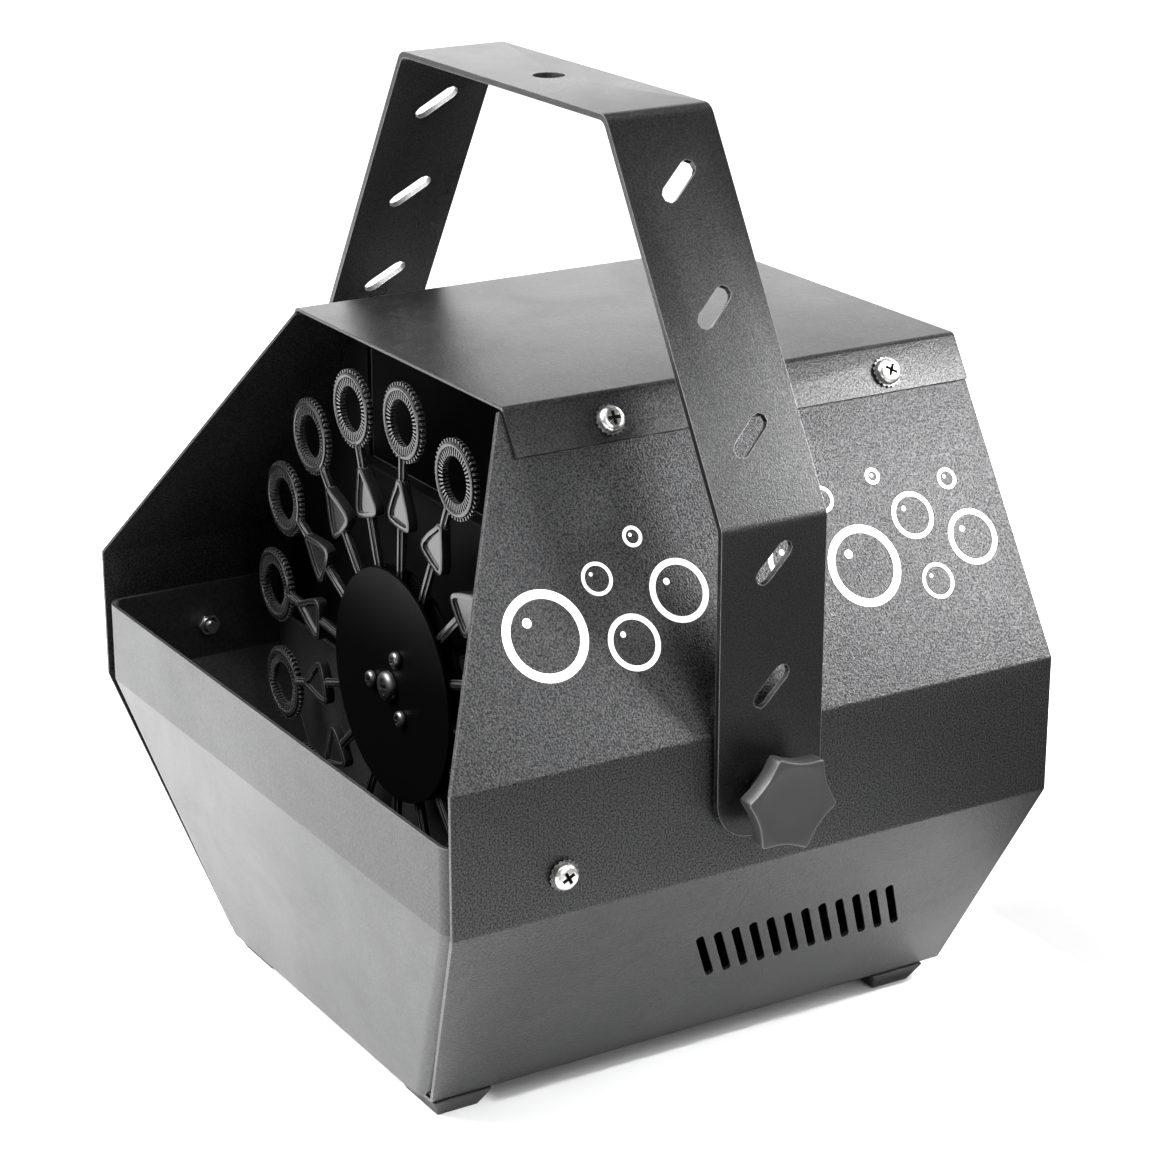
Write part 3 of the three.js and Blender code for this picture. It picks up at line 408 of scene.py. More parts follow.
# %% The paints
case_black = finish(
    "Panel powder coat", (0.0099, 0.0099, 0.0105), 0.36, grain=0.2, grains=1800.0, ripple=0.1,
    edge=(0.09, 0.09, 0.09), dust=0.04, sparkle=0.27,
)
# The partition inside the case is a darker copy of the panel paint: painted shade.
inner_shaded_black = finish(
    "Inner powder coat in painted shade", (0.0015, 0.0015, 0.0015), 0.5, grain=0.06, grains=1500.0, index=1.12
)
cover_black = finish(
    "Cover powder coat", (0.0083, 0.0083, 0.0088), 0.3, grain=0.07, grains=1800.0, ripple=0.1,
    edge=(0.03, 0.03, 0.03), dust=0.05, sparkle=0.2,
)
tray_black = finish(
    "Tray powder coat", (0.018, 0.018, 0.0187), 0.4, grain=0.03, edge=(0.12, 0.12, 0.12),
    sparkle=0.06,
)
yoke_black = finish(
    "Yoke powder coat", (0.0036, 0.0036, 0.0037), 0.27, grain=0.08, grains=2000.0, ripple=0.1,
    edge=(0.2, 0.2, 0.2), dust=0.04, sparkle=0.16,
)
paints = (case_black, inner_shaded_black, cover_black, tray_black, yoke_black)
print("paints:", [paint.name for paint in paints])

# %% The plastics and rubber
wand_black = finish(
    "Wand plastic", (0.006, 0.006, 0.006), 0.15, edge=(0.1, 0.1, 0.1), edge_radius=0.0003
)
disc_black = finish(
    "Disc plastic", (0.001, 0.001, 0.001), 0.3, smudge=0.12, marks=34.0, index=1.09
)
knob_black = finish(
    "Knob plastic", (0.015, 0.015, 0.0155), 0.44, grain=0.012, grains=2400.0,
    edge=(0.16, 0.16, 0.16), edge_radius=0.0006, patchiness=0.2,
)
foot_black = finish("Foot rubber", (0.016, 0.016, 0.016), 0.72, grain=0.02, dust=0.1)
fan_black = finish("Fan plastic", (0.014, 0.014, 0.014), 0.38, grain=0.01, dust=0.12)
fitting_black = finish("Fitting plastic", (0.012, 0.012, 0.012), 0.32, edge=(0.05, 0.05, 0.05))
terminal_white = finish("Terminal plastic", (0.62, 0.6, 0.52), 0.42)
ink_white = finish("Printed ink", (0.86, 0.86, 0.86), 0.4, smudge=0.03, grain=0.02)
print("plastics:", wand_black.name, knob_black.name, fan_black.name)

# %% The metals
nickel = finish("Nickel plate", (0.56, 0.55, 0.53), 0.24, metal=1.0, marks=160.0, smudge=0.14)
nut_plate = finish("Bright nut plate", (0.85, 0.84, 0.82), 0.12, metal=1.0, marks=160.0)
blackened = finish("Blackened steel", (0.1, 0.1, 0.1), 0.3, metal=1.0, marks=160.0, smudge=0.2)
# The cross recesses get a near-black painted shade, where a real recess shades itself.
recess_shade = finish("Recess painted shade", (0.006, 0.006, 0.006), 0.6)
plated = (nickel, recess_shade, blackened)
darkened = (blackened, recess_shade)
motor_steel = finish("Motor steel", (0.5, 0.5, 0.49), 0.34, metal=1.0, marks=60.0, smudge=0.15)
guard_chrome = finish("Guard wire", (0.62, 0.62, 0.61), 0.18, metal=1.0, marks=80.0)
brass = finish("Pin brass", (0.72, 0.5, 0.22), 0.25, metal=1.0, marks=120.0)
print("metals:", nickel.name, blackened.name, motor_steel.name, guard_chrome.name, brass.name)

# %% [markdown]
# ## Folded sheet steel
#
# The panels, cover, tray and yoke are bent from sheet between one and two millimetres thick. Cut
# edges of painted steel are never knife sharp: the paint pulls back over them into a small round
# that shows as a thin bright line. The solid model already has the bends and the holes, so a copy
# of each part is merged into one skin, its flat faces are cleared of triangle edges, and a Bevel
# modifier rounds what is left by angle.

# %% Copy a solid part with soft edges
WELD = 0.002
STILL_FLAT = radians(0.8)
HARD_EDGE = radians(32)


def finished_copy(part, material, body, edge=0.28, segments=2):
    """A copy of a solid part, merged and cleaned, with its hard edges rounded by edge."""
    bm = bmesh.new()
    bm.from_mesh(frame["nodes"][part].data)
    bmesh.ops.scale(bm, vec=(1 / MM,) * 3, verts=bm.verts)
    bmesh.ops.remove_doubles(bm, verts=bm.verts, dist=WELD)
    bmesh.ops.dissolve_limit(
        bm, angle_limit=STILL_FLAT, verts=bm.verts, edges=bm.edges, delimit={"NORMAL"}
    )
    piece = make_piece(f"finished_{part}", bm, material, body, stands_for=(part,))
    bevel = piece.modifiers.new("Soft edges", "BEVEL")
    bevel.width = edge * MM
    bevel.segments = segments
    bevel.limit_method = "ANGLE"
    bevel.angle_limit = HARD_EDGE
    bevel.harden_normals = True
    bevel.use_clamp_overlap = True
    return piece


for part in ("right_side_panel", "left_side_panel", "base_plate", "rear_panel"):
    finished_copy(part, case_black, "case")
finished_copy("partition", inner_shaded_black, "case")
finished_copy("top_cover", cover_black, "case", edge=0.3)
finished_copy("fluid_tray", tray_black, "case", edge=0.3)
finished_copy("yoke", yoke_black, "yoke", edge=0.35, segments=3)
print("sheet metal pieces", made["pieces"], "with", made["faces"], "faces before the bevels")

# %% [markdown]
# ## Bubble wands
#
# Each wand is one moulding: a rod, a small paddle that stirs and lifts the fluid, and a ring whose
# teeth hold a film by capillary action. The ring is a rounded rim with short teeth inside and out,
# the paddle is a leaf-shaped plate with a raised rim round a thinner web, and the rod is a flat
# strip with a ridge down its middle. Teeth repeat more than a thousand times over the wheel, so
# each is a plain box, and only the rim, rod and paddle get rounded edges.

# %% The wheel's sizes
WHEEL_CENTRE = Vector((0, -56, 112.3))
WAND_COUNT = 16
FIRST_WAND = radians(18.2)
RING_CENTRE = 86.5
RING_TOOTH_COUNT = 44
WAND_HALF_THICKNESS = 1.7
RING_HALF_THICKNESS = 1.45


# %% The ring with its teeth
RIM_INSIDE, RIM_OUTSIDE = 9.8, 11.4
RIM_ROUND = 0.15
RIM_SHOULDER = 0.5
RIM_WALL = 0.9
INNER_TOOTH, INNER_TOOTH_AT = (2.6, 0.45, 2.0), 8.6
OUTER_TOOTH, OUTER_TOOTH_AT = (1.2, 0.55, 1.4), 11.85


def wand_ring():
    """A toothed ring about the local Y axis, at the far end of a wand along +X."""
    half = RING_HALF_THICKNESS
    lower = [
        (RIM_INSIDE, -RIM_WALL), (RIM_INSIDE + RIM_ROUND, RIM_ROUND - half),
        (RIM_INSIDE + RIM_SHOULDER, -half), (RIM_OUTSIDE - RIM_SHOULDER, -half),
        (RIM_OUTSIDE - RIM_ROUND, RIM_ROUND - half), (RIM_OUTSIDE, -RIM_WALL),
    ]
    upper = [(radius, -height) for radius, height in reversed(lower)]
    ring = spun(lower + upper, 48, closed=True)
    for step in range(RING_TOOTH_COUNT):
        turn = Matrix.Rotation(step * tau / RING_TOOTH_COUNT, 4, "Z")
        add_block(ring, INNER_TOOTH, (INNER_TOOTH_AT, 0, 0), turn)
        add_block(ring, OUTER_TOOTH, (OUTER_TOOTH_AT, 0, 0), turn)
    upright = Matrix.Translation((RING_CENTRE, 0, 0)) @ Matrix.Rotation(pi / 2, 4, "X")
    bmesh.ops.transform(ring, matrix=upright, verts=ring.verts)
    return ring


# %% The paddle with its raised rim
PADDLE_HALF = [
    (52.4, 1.4), (52.7, 5.2), (53.4, 6.6), (54.8, 7.1), (56.6, 6.9), (61, 5.0), (65.5, 2.5),
    (68.2, 1.3),
]
PADDLE_RIM = 1.15
PADDLE_STEP = 0.2
PADDLE_SINK = 0.95
CAP_AREA = 20


def wand_paddle():
    """A leaf-shaped plate with a web thinner than its rim."""
    bm = bmesh.new()
    half = WAND_HALF_THICKNESS
    outline = [(x, -z) for x, z in PADDLE_HALF] + [(x, z) for x, z in reversed(PADDLE_HALF)]
    back = bm.faces.new([bm.verts.new((x, half, z)) for x, z in outline])
    grown = bmesh.ops.extrude_face_region(bm, geom=[back], use_keep_orig=True)["geom"]
    far_corners = [part for part in grown if isinstance(part, bmesh.types.BMVert)]
    bmesh.ops.translate(bm, vec=(0, -2 * half, 0), verts=far_corners)
    bmesh.ops.recalc_face_normals(bm, faces=bm.faces)
    soft_edges(bm, 0.35)
    flat = [face for face in bm.faces if abs(face.normal.y) > 0.99]
    caps = [face for face in flat if face.calc_area() > CAP_AREA]
    for cap in caps:
        inward = -cap.normal
        bmesh.ops.inset_region(bm, faces=[cap], thickness=PADDLE_RIM, use_even_offset=True)
        bmesh.ops.inset_region(bm, faces=[cap], thickness=PADDLE_STEP, use_even_offset=True)
        bmesh.ops.translate(bm, vec=inward * PADDLE_SINK, verts=cap.verts)
    return bm


# %% The rod with its ridge
ROOT_SIZE, ROOT_AT = 6, 28.4
ROD_LENGTHS = ((30.5, 53.2), (67.2, 76.2))
ROD_THICKNESS, ROD_WIDTH = 1.5, 3.0
RIDGE_THICKNESS, RIDGE_WIDTH = 3.1, 1.15


def wand_rods():
    """The root between the discs and the two lengths of ridged rod."""
    bm = bmesh.new()
    add_block(bm, (ROOT_SIZE, 2 * WAND_HALF_THICKNESS, ROOT_SIZE), (ROOT_AT, 0, 0))
    for start, end in ROD_LENGTHS:
        middle = ((start + end) / 2, 0, 0)
        add_block(bm, (end - start, ROD_THICKNESS, ROD_WIDTH), middle)
        add_block(bm, (end - start, RIDGE_THICKNESS, RIDGE_WIDTH), middle)
    return soft_edges(bm, 0.2)


# %% Sixteen wands on the wheel
for index in range(WAND_COUNT):
    angle = FIRST_WAND + index * tau / WAND_COUNT
    place = Matrix.Translation(WHEEL_CENTRE) @ Matrix.Rotation(-angle, 4, "Y")
    wand = merged(wand_ring(), wand_paddle(), wand_rods())
    make_piece(
        f"wand_moulding_{index + 1:02d}", wand, wand_black, "wheel", place=place,
        stands_for=(f"wand_{index + 1:02d}",),
    )
print("sixteen wands with", RING_TOOTH_COUNT * 2, "teeth each")

# %% [markdown]
# ## Discs, hub, shaft and motor
#
# Two thin discs clamp the wands' roots, and the hub behind them pushes onto the motor's shaft. They
# are plain turned parts, so the solid copies with a small round on each edge are enough.

# %% The wheel's turned parts
finished_copy("front_disc", disc_black, "wheel", edge=0.3)
finished_copy("rear_disc", disc_black, "wheel", edge=0.3)
finished_copy("wheel_hub", wand_black, "wheel", edge=0.4)
finished_copy("motor_shaft", nickel, "wheel", edge=0.3)
finished_copy("wheel_motor", motor_steel, "case", edge=0.8, segments=3)
print("wheel parts ready, pieces so far", made["pieces"])

# %% [markdown]
# ## Screws, washers and nuts
#
# The case is held by pan-head screws with a cross recess over serrated lock washers. A screw head
# is a loft of rings with 24 corners: the outer rings are round, and the last ones follow a cross,
# which is 24 corners too when its arms are as wide as a sixth of a turn allows, so every band is
# made of clean quads down to the bottom of the recess.

# %% A cross-recessed screw and its washer
SCREW_CORNERS = 24
ARM_SLIMNESS = 0.268
RECESS_SHADE_INDEX = plated.index(recess_shade)
WASHER_INDEX = plated.index(blackened)
WASHER_TEETH = 18
WASHER_TOOTH = 0.045


def cross(arm_length):
    """Scales a unit circle's corners, 15 degrees apart, onto a cross with that arm length."""
    half_width = arm_length * ARM_SLIMNESS

    def shape(angle):
        turned = abs((angle + pi / 4) % (pi / 2) - pi / 4)
        if turned < radians(20):
            return arm_length / cos(turned)
        return half_width / sin(turned)

    return shape


def pan_screw(head, height, shank, length):
    """A screw along +Z with the underside of its head at zero."""
    arm = head * 0.52
    rings = [
        (shank, -length, None), (shank, -0.02, None), (head, 0, None), (head, height * 0.42, None),
        (head * 0.95, height * 0.66, None), (head * 0.84, height * 0.86, None),
        (head * 0.7, height * 0.97, None), (head * 0.6, height, None),
        (1.0, height, cross(arm)), (1.0, height - 0.12, cross(arm * 0.93)),
        (1.0, height * 0.25, cross(arm * 0.66)),
    ]
    screw = lofted(rings, SCREW_CORNERS)
    # The faces down in the cross take the painted shade.
    for face in screw.faces:
        centre = face.calc_center_median()
        if centre.xy.length < arm and height * 0.2 < centre.z < height - 0.03:
            face.material_index = RECESS_SHADE_INDEX
    return screw


def toothed_washer(radius, thickness):
    """A lock washer whose rim is cut into teeth."""
    def serrated(angle):
        return 1.0 + WASHER_TOOTH * (1 if cos(WASHER_TEETH * angle) > 0 else -1)

    washer = lofted(
        [(radius, 0, serrated), (radius * 1.01, thickness, serrated)], 8 * WASHER_TEETH
    )
    for face in washer.faces:
        face.material_index = WASHER_INDEX
    return washer


SLOPE_DOWN = Vector((0.5298, 0, -0.8481))
SLOPE_OUT = Vector((0.8481, 0, 0.5298))
slope_angle = atan2(SLOPE_OUT.z, SLOPE_OUT.x)
print("slope of the upper side", round(slope_angle * 180 / pi, 1), "degrees")

# %% Screws on both sides of the case
SIDES = (("right", 1), ("left", -1))
COVER_CORNER = Vector((65.8, 0, 218.1))
COVER_SCREW_YS = (("front", -23.3), ("rear", 75))
COVER_SCREW_DOWN = 9
TRAY_SCREW = Vector((120.3, -68.5, 98))
WASHER_THICKNESS = 0.6

for side_name, side in SIDES:
    flip = Matrix.Diagonal((side, 1, 1, 1))
    seats = {f"{side_name}_tray_screw": (TRAY_SCREW, Vector((1, 0, 0)), 0.5)}
    for place_name, y in COVER_SCREW_YS:
        corner = COVER_CORNER + SLOPE_DOWN * COVER_SCREW_DOWN + SLOPE_OUT * 0.3
        corner.y = y
        seats[f"{side_name}_{place_name}_cover_screw"] = (corner, SLOPE_OUT, 0.25 + y * 0.01)
    for part, (point, normal, turn) in seats.items():
        seat = flip @ stand_on(point, normal, turn)
        screw = pan_screw(4.0, 2.4, 2.0, 9.5)
        bmesh.ops.translate(screw, vec=(0, 0, WASHER_THICKNESS), verts=screw.verts)
        both = merged(screw, toothed_washer(4.6, WASHER_THICKNESS))
        make_piece(f"finished_{part}", both, plated, "case", place=seat, stands_for=(part,))
    finished_copy(f"{side_name}_tray_nut", nut_plate, "case", edge=0.45, segments=3)
print("case screws and nuts ready, pieces so far", made["pieces"])

# %% Screws that hold the wheel together
HEAD_Y = -59.5
FORWARD = Vector((0, -1, 0))
DISC_SCREW_CIRCLE = 11.5

make_piece(
    "finished_hub_screw", pan_screw(4.9, 2.6, 1.6, 9.5), darkened, "wheel",
    place=stand_on((0, HEAD_Y, WHEEL_CENTRE.z), FORWARD, 0.3), stands_for=("hub_screw",),
)
for number, degrees in enumerate((63, 187, 312), start=1):
    x = DISC_SCREW_CIRCLE * cos(radians(degrees))
    z = WHEEL_CENTRE.z + DISC_SCREW_CIRCLE * sin(radians(degrees))
    make_piece(
        f"finished_disc_screw_{number}", pan_screw(2.8, 1.8, 1.5, 11), darkened, "wheel",
        place=stand_on((x, HEAD_Y, z), FORWARD, number), stands_for=(f"disc_screw_{number}",),
    )
print("wheel screws ready")

# %% [markdown]
# ## Clamp knobs
#
# The yoke is held by two six-cornered knobs on threaded studs. The grip's sides are hollowed for
# the fingers, which a loft does well: two rings share the outline, rings a little smaller at both
# ends round the edges, and two round ones sink a shallow dish into the face. The stud, the friction
# washer and the press nut in the panel are turned parts.

# %% A hollow-sided grip on its stud
PIVOT = Vector((0, -1.5, 110))
GRIP_TIP = 15.7
GRIP_DIP = 1.2
GRIP_ROUND = 0.4
GRIP_TURN = radians(-11)
GRIP_BACK, GRIP_FACE = 130.5, 136.0
HALF_SIDE = pi / 6


def hollow_sided(angle):
    """Scales a circle through the grip's corners onto its outline."""
    from_middle = (angle - GRIP_TURN) % (2 * HALF_SIDE) - HALF_SIDE
    dip = GRIP_DIP * (1 - (from_middle / HALF_SIDE) ** 2)
    side = (GRIP_TIP * cos(HALF_SIDE) - dip) / cos(from_middle)
    return min(side, GRIP_TIP - GRIP_ROUND) / GRIP_TIP


def clamp_knob():
    """A knob along +Z, measured from the machine's middle plane."""
    low, high = GRIP_BACK, GRIP_FACE
    grip = lofted(
        [
            (GRIP_TIP * 0.95, low, hollow_sided), (GRIP_TIP * 0.985, low + 0.15, hollow_sided),
            (GRIP_TIP, low + 0.6, hollow_sided), (GRIP_TIP, high - 0.75, hollow_sided),
            (GRIP_TIP * 0.985, high - 0.22, hollow_sided),
            (GRIP_TIP * 0.955, high - 0.04, hollow_sided), (GRIP_TIP * 0.93, high, hollow_sided),
            (11.2, high - 0.05, None), (10.2, high - 0.3, None), (5, high - 0.45, None),
        ],
        144,
    )
    boss = spun([(0, 123.8), (7.2, 123.8), (7.6, 124.2), (9, 130.8), (0, 130.8)], 48)
    stud = spun([(0, 109.5), (3.4, 109.5), (4, 110.2), (4, 130.5), (0, 130.5)], 32)
    return merged(grip, boss), stud


for side_name, side in SIDES:
    seat = stand_on((0, PIVOT.y, PIVOT.z), (side, 0, 0))
    grip, stud = clamp_knob()
    make_piece(
        f"finished_{side_name}_knob", grip, knob_black, f"{side_name}_knob", place=seat,
        stands_for=(f"{side_name}_knob",),
    )
    make_piece(f"{side_name}_knob_stud", stud, nickel, f"{side_name}_knob", "screw_plate", seat)
    finished_copy(f"{side_name}_friction_washer", foot_black, "case", edge=0.25)
    finished_copy(f"{side_name}_press_nut", nickel, "case", edge=0.4)
print("knobs ready, pieces so far", made["pieces"])

# %% [markdown]
# ## Rubber feet
#
# Four moulded feet taper down from the case, each with a screw up a pocket in its middle. The
# moulding's edges are well rounded, so the bevel is wide here.

# %% Four feet with their screws
FOOT_X = 57
FOOT_YS = (("front", -74), ("rear", 88))
POCKET_Z = 3.4

for side_name, side in SIDES:
    for place_name, y in FOOT_YS:
        foot = f"{side_name}_{place_name}_foot"
        finished_copy(foot, foot_black, "case", edge=0.7, segments=3)
        screw = pan_screw(3.2, 1.5, 1.5, 2.0)
        seat = stand_on((side * FOOT_X, y, POCKET_Z), (0, 0, -1), 0.4)
        make_piece(f"{foot}_screw", screw, plated, "case", "screw_plate", seat)
print("feet ready")

# %% [markdown]
# ## Fan, duct and finger guard
#
# The blower is a standard axial fan. Its blades are swept and twisted, steeper at the hub than at
# the tip: a grid bent by a rule and then given its thickness makes one, and turns of it make the
# set. The guard at the back is round wire, so its rings are small circles spun into hoops, and the
# four arms are straight rods that end under the fan's fixing screws.

# %% The fan's blades and hub
FAN_CENTRE = Vector((0, 0, 151))
BLADES = 7
BLADE_ROOT, BLADE_REACH = 22, 32.8
BLADE_Y = 82.0
BLADE_THICKNESS = 1.5


def fan_blade():
    """One twisted blade along +X, about the local Y axis."""
    bm = bmesh.new()
    bmesh.ops.create_grid(bm, x_segments=10, y_segments=8, size=0.5)
    for corner in bm.verts:
        out, across = corner.co.x + 0.5, corner.co.y
        radius = BLADE_ROOT + BLADE_REACH * out
        chord = 23 + 7 * out
        pitch = radians(52 - 22 * out)
        curve = 2.6 * (0.25 - across * across) * 4
        sweep = radians(14) * out * out
        run = across * chord
        level = run * sin(pitch) - curve * cos(pitch)
        offset = run * cos(pitch) + curve * sin(pitch)
        turn = sweep + offset / radius
        corner.co = Vector((radius * cos(turn), BLADE_Y + level * 0.86, radius * sin(turn)))
    bmesh.ops.recalc_face_normals(bm, faces=bm.faces)
    bmesh.ops.solidify(bm, geom=bm.faces[:], thickness=BLADE_THICKNESS)
    bmesh.ops.recalc_face_normals(bm, faces=bm.faces)
    return bm


hub_profile = [
    (0, 71), (22.6, 71), (24, 72.4), (24, 91.8), (22.6, 93.3), (15, 93.3), (14.2, 92.6), (0, 92.6),
]
rotor = spun(hub_profile, 64)
bmesh.ops.rotate(rotor, matrix=Matrix.Rotation(-pi / 2, 3, "X"), verts=rotor.verts)
for index in range(BLADES):
    blade = fan_blade()
    turn = Matrix.Rotation(index * tau / BLADES, 3, "Y")
    bmesh.ops.rotate(blade, matrix=turn, verts=blade.verts)
    rotor = merged(rotor, blade)
low_y = min(corner.co.y for corner in rotor.verts)
high_y = max(corner.co.y for corner in rotor.verts)
make_piece(
    "finished_fan_rotor", rotor, fan_black, "fan", place=Matrix.Translation(FAN_CENTRE),
    stands_for=("fan_rotor",),
)
finished_copy("fan_frame", fan_black, "case", edge=0.7, segments=3)
finished_copy("air_duct", fan_black, "case", edge=0.4)
print("fan rotor from", round(low_y, 1), "to", round(high_y, 1), "mm along the airway")

# %% The finger guard and its screws
BACKWARD = Vector((0, 1, 0))
WIRE = 0.95
WIRE_SIDES = 10
HOOPS = (14, 28, 42, 56)
GUARD_Y, GUARD_SCREW_Y = 99.3, 100.35
FIXING = 52.4


def wire_hoop(radius):
    """A hoop of round wire about +Z."""
    angles = [step * tau / WIRE_SIDES for step in range(WIRE_SIDES)]
    section = [(radius + WIRE * cos(angle), WIRE * sin(angle)) for angle in angles]
    return spun(section, 72, closed=True)


guard = merged(*[wire_hoop(radius) for radius in HOOPS])
arm = spun([(0, -72.5), (0.6, -72.4), (WIRE, -72), (WIRE, 72), (0.6, 72.4), (0, 72.5)], 12)
for turn in (pi / 4, -pi / 4):
    rod = arm.copy()
    bmesh.ops.rotate(rod, matrix=Matrix.Rotation(pi / 2, 3, "X"), verts=rod.verts)
    bmesh.ops.rotate(rod, matrix=Matrix.Rotation(turn, 3, "Z"), verts=rod.verts)
    guard = merged(guard, rod)
arm.free()
make_piece(
    "finished_finger_guard", guard, guard_chrome, "case",
    place=stand_on((0, GUARD_Y, FAN_CENTRE.z), BACKWARD), stands_for=("finger_guard",),
)
for number, (x, z) in enumerate([(1, 1), (-1, 1), (-1, -1), (1, -1)], start=1):
    point = (x * FIXING, GUARD_SCREW_Y, FAN_CENTRE.z + z * FIXING)
    seat = stand_on(point, BACKWARD, number * 0.7)
    screw = pan_screw(4, 2.2, 1.9, 5)
    make_piece(f"guard_screw_{number}", screw, plated, "case", "screw_plate", seat)
print("guard ready, pieces so far", made["pieces"])

# %% Screws round the rear panel
REAR_SCREW_Y = 98.05
REAR_SCREWS = [(side * x, z) for x, z in ((60, 206), (108, 108), (68, 20)) for side in (1, -1)]

for number, (x, z) in enumerate(REAR_SCREWS, start=1):
    seat = stand_on((x, REAR_SCREW_Y, z), BACKWARD, number * 0.9)
    screw = pan_screw(3.2, 1.9, 1.5, 5)
    make_piece(f"rear_panel_screw_{number}", screw, plated, "case", "screw_plate", seat)
print("rear screws", len(REAR_SCREWS))

# %% [markdown]
# ## Mains fittings
#
# The appliance inlet, its fuse drawer and the rocker switch are snap-in mouldings. The pins in the
# inlet are brass: in the copied mesh, the faces that lie inside the three pins' outlines take a
# second material.

# %% Inlet, fuse drawer, switch and rocker
INLET = Vector((-36, 98.3, 48))
PINS = [(-7, 3), (7, 3), (0, 7.5)]
PIN_HALF_WIDTH, PIN_HALF_HEIGHT = 1.1, 2.1
PIN_ROOT, PIN_TIP = -12.9, -0.5

inlet = finished_copy("power_inlet", fitting_black, "case", edge=0.35, segments=3)
inlet.data.materials.append(brass)
brass_faces = 0
for face in inlet.data.polygons:
    centre = face.center / MM - INLET
    on_pin = any(
        abs(centre.x - x) < PIN_HALF_WIDTH and abs(centre.z - z) < PIN_HALF_HEIGHT for x, z in PINS
    )
    if on_pin and PIN_ROOT < centre.y < PIN_TIP:
        face.material_index = 1
        brass_faces += 1
finished_copy("fuse_drawer", fitting_black, "fuse_drawer", edge=0.4, segments=3)
finished_copy("switch_body", fitting_black, "case", edge=0.4, segments=3)
finished_copy("switch_rocker", fitting_black, "rocker", edge=0.5, segments=3)
finished_copy("terminal_block", terminal_white, "case", edge=0.4)
print("inlet pins are brass on", brass_faces, "faces")

# %% [markdown]
# ## Printed bubbles
#
# The sides carry a print in white ink. Here it is a drift of plain bubble rings, which says what
# the machine does without any lettering. Each ring is a turned washer a few hundredths of a
# millimetre thick, laid on the slope, with a small round glint like a bubble's.

# %% Rings of ink on both slopes
BUBBLES = [
    (-62, 67, 13.5), (-35, 74, 8.4), (-41, 54, 5.0), (-16, 62, 9.6), (-26, 44, 3.2), (11, 76, 5.4),
    (24, 60, 8.2), (48, 66, 12.6), (40, 44, 4.2), (70, 54, 7.4), (72, 75, 5.6), (89, 64, 8.8),
    (86, 45, 3.4), (60, 40, 2.6),
]
PANEL_CORNER = Vector((64.28, 0, 218.1))
INK_THICKNESS = 0.04
INK_GAP = 0.02


def ink_ring(radius):
    """A flat printed ring with a glint, facing +Z."""
    line = max(1.1, radius * 0.2)
    inside, top = radius - line, INK_THICKNESS
    ring = spun([(inside, 0), (radius, 0), (radius, top), (inside, top)], 64, closed=True)
    off_centre = (radius - line * 1.9) * 0.55
    glint = bmesh.new()
    bmesh.ops.create_circle(glint, segments=16, radius=line * 0.55, cap_ends=True)
    bmesh.ops.translate(glint, vec=(-off_centre, off_centre, top), verts=glint.verts)
    return merged(ring, glint)


for side_name, side in SIDES:
    flip = Matrix.Diagonal((side, 1, 1, 1))
    print_bm = None
    for y, down, radius in BUBBLES:
        spot = PANEL_CORNER + SLOPE_DOWN * down + SLOPE_OUT * INK_GAP
        spot.y = y
        ring = ink_ring(radius)
        bmesh.ops.transform(ring, matrix=stand_on(spot, SLOPE_OUT), verts=ring.verts)
        print_bm = merged(print_bm, ring) if print_bm else ring
    make_piece(f"{side_name}_printed_bubbles", print_bm, ink_white, "case", None, flip)
print("bubbles printed on each side", len(BUBBLES))

# %% [markdown]
# ## Stage, light and camera
#
# A black object shows its form by what it reflects, so the stage is a bright one: a pale floor, an
# even white sky and a soft sun overhead. One large soft box lights the floor in front, which the
# tray's front mirrors. One far behind on the left is what the top mirrors, and a small one close
# behind on the right is what the right slope mirrors. Two more light the floor on the right and
# behind, so that it stays white. A studio also lays dark card where a side should stay black: here
# it lies on the right and behind on the right. A third dark card under the case is painted shade
# for the floor there. Only the reflections see the cards.

# %% The pale floor
FLOOR_HALF = 6
FLOOR_TONE, FLOOR_ROUGHNESS = 0.88, 0.8
CARD_ROUGHNESS = 0.5


def flat_sheet(name, size, centre, height, tone, roughness, paint_name):
    """A level sheet of one grey, in metres, that belongs to the stage."""
    bm = bmesh.new()
    bmesh.ops.create_grid(bm, x_segments=1, y_segments=1, size=0.5)
    bmesh.ops.scale(bm, vec=(*size, 1), verts=bm.verts)
    bmesh.ops.translate(bm, vec=(*centre, height), verts=bm.verts)
    mesh = bpy.data.meshes.new(name)
    bm.to_mesh(mesh)
    bm.free()
    paint = bpy.data.materials.new(paint_name)
    paint.use_nodes = True
    shader = paint.node_tree.nodes["Principled BSDF"]
    shader.inputs["Base Color"].default_value = (tone, tone, tone, 1)
    shader.inputs["Roughness"].default_value = roughness
    mesh.materials.append(paint)
    sheet = bpy.data.objects.new(name, mesh)
    scene.collection.objects.link(sheet)
    return sheet


floor_size = (2 * FLOOR_HALF, 2 * FLOOR_HALF)
floor = flat_sheet("floor", floor_size, (0, 0), 0, FLOOR_TONE, FLOOR_ROUGHNESS, "Pale floor")
print("floor", floor.dimensions[:2])


# %% Soft boxes, sky and sun
def soft_box(name, place, aim, size, power, spread=180):
    """A rectangular light that faces a point, in metres, and lights without being seen."""
    data = bpy.data.lights.new(name, "AREA")
    data.shape = "RECTANGLE"
    data.size, data.size_y = size
    data.energy = power
    data.spread = radians(spread)
    lamp = bpy.data.objects.new(name, data)
    lamp.location = place
    lamp.rotation_euler = (Vector(aim) - Vector(place)).to_track_quat("-Z", "Y").to_euler()
    lamp.visible_camera = False
    scene.collection.objects.link(lamp)
    return lamp


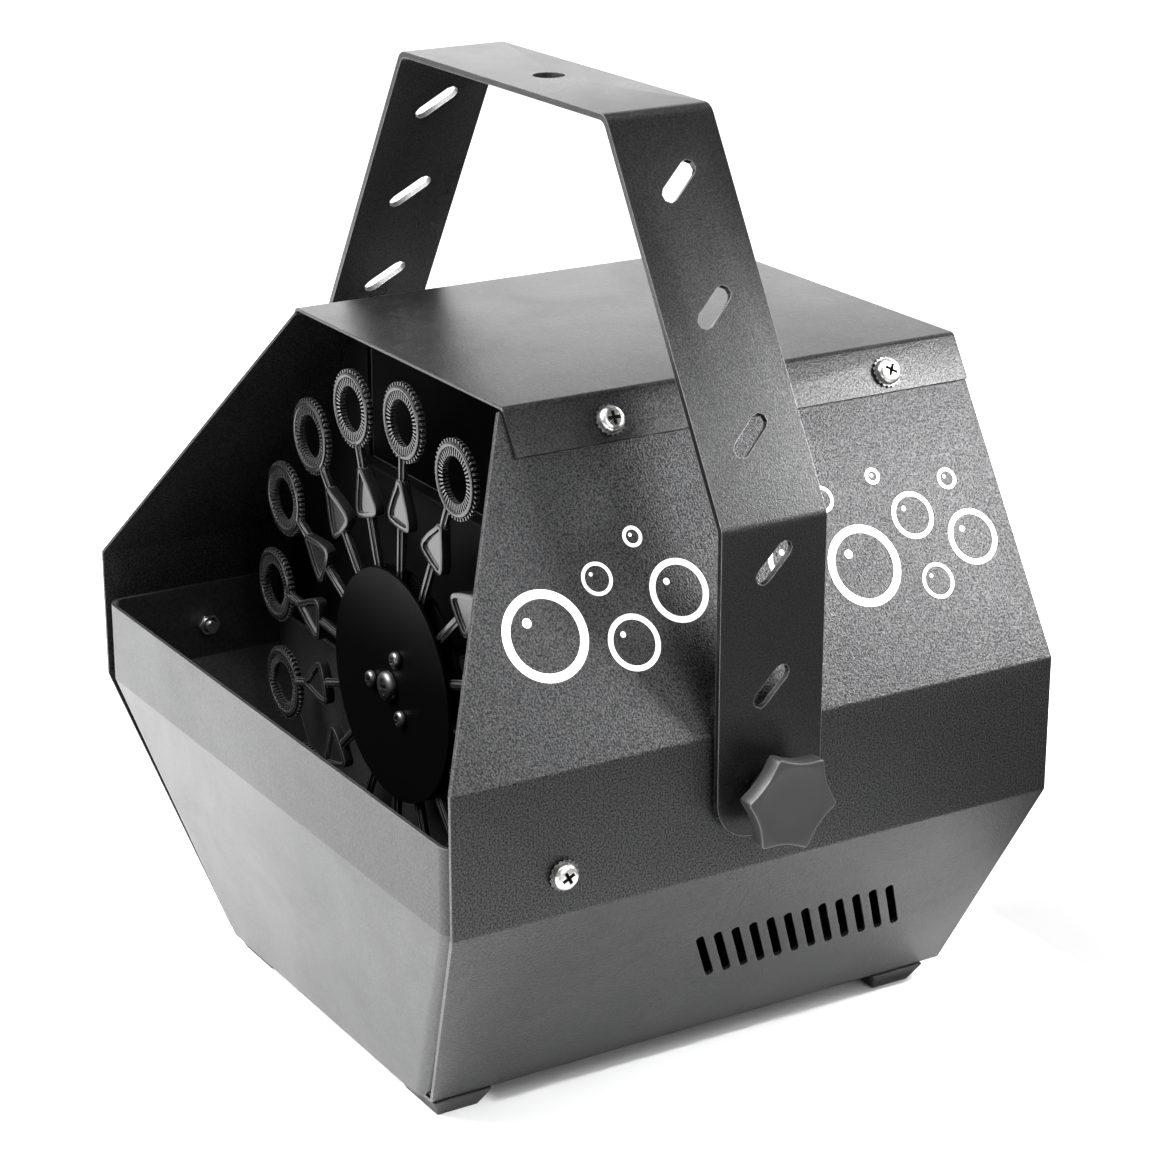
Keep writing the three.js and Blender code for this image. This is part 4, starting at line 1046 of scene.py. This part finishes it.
soft_box("front_left_box", (-0.3, -0.8, 0.95), (0.02, -0.25, 0.0), (0.7, 0.7), 55)
soft_box("left_rear_box", (-1.6, 0.95, 0.7), (0, 0, 0.2), (1.8, 1.2), 11.5)
soft_box("right_rear_box", (0.3, 0.3, 0.34), (0.09, 0.1, 0.17), (0.16, 0.16), 0.46, 60)
soft_box("right_fill_box", (1.1, 0.1, 0.6), (0.4, 0.1, 0.0), (0.8, 0.8), 12)
soft_box("rear_floor_box", (-0.2, 0.8, 0.4), (0.07, 0.2, 0), (0.4, 0.4), 9)
overhead = bpy.data.lights.new("overhead", "SUN")
overhead.energy = 2.0
overhead.angle = radians(60)
scene.collection.objects.link(bpy.data.objects.new("overhead", overhead))

SKY_LIGHT, SKY_SEEN = 0.45, 1.0
world = bpy.data.worlds.new("Even white")
world.use_nodes = True
sky = world.node_tree.nodes["Background"]
ray = node(world.node_tree, "LightPath").outputs["Is Camera Ray"]
sky_strength = remap(world.node_tree, ray, 0.0, 1.0, SKY_LIGHT, SKY_SEEN)
world.node_tree.links.new(sky_strength, sky.inputs["Strength"])
sky.inputs["Color"].default_value = (1, 1, 1, 1)
scene.world = world
scene.view_settings.view_transform = "Standard"

# %% Dark cards on the right, behind and under the case
CARD_HEIGHT = 0.002


def dark_card(name, size, centre, tone):
    """A dark sheet just over the floor, in metres, that only reflections see."""
    card = flat_sheet(name, size, centre, CARD_HEIGHT, tone, CARD_ROUGHNESS, name)
    card.visible_camera = False
    card.visible_shadow = False


dark_card("right_card", (0.75, 1.3), (0.67, 0.3), 0.12)
dark_card("rear_card", (0.26, 0.5), (0.165, 0.4), 0.01)
# The card under the case is painted shade: it darkens the floor under the case, which the lower slope
# mirrors.
dark_card("painted_shade_card", (0.14, 0.16), (0, 0.02), 0.05)
print("three dark cards")

# %% The camera
AZIMUTH = radians(58.93)
ELEVATION = radians(19.45)
CAMERA_PLACE = Vector((800.4, -474.2, 466.1))
FOCAL_LENGTH = 97.3
SENSOR_WIDTH = 36

lens = bpy.data.cameras.new("camera")
lens.lens = FOCAL_LENGTH
lens.sensor_width = SENSOR_WIDTH
camera = bpy.data.objects.new("camera", lens)
back = Vector((
    sin(AZIMUTH) * cos(ELEVATION), -cos(AZIMUTH) * cos(ELEVATION), sin(ELEVATION)
))
camera.location = CAMERA_PLACE * MM
camera.rotation_euler = (-back).to_track_quat("-Z", "Y").to_euler()
scene.collection.objects.link(camera)
scene.camera = camera
print("camera at", camera.location[:], "lens", lens.lens)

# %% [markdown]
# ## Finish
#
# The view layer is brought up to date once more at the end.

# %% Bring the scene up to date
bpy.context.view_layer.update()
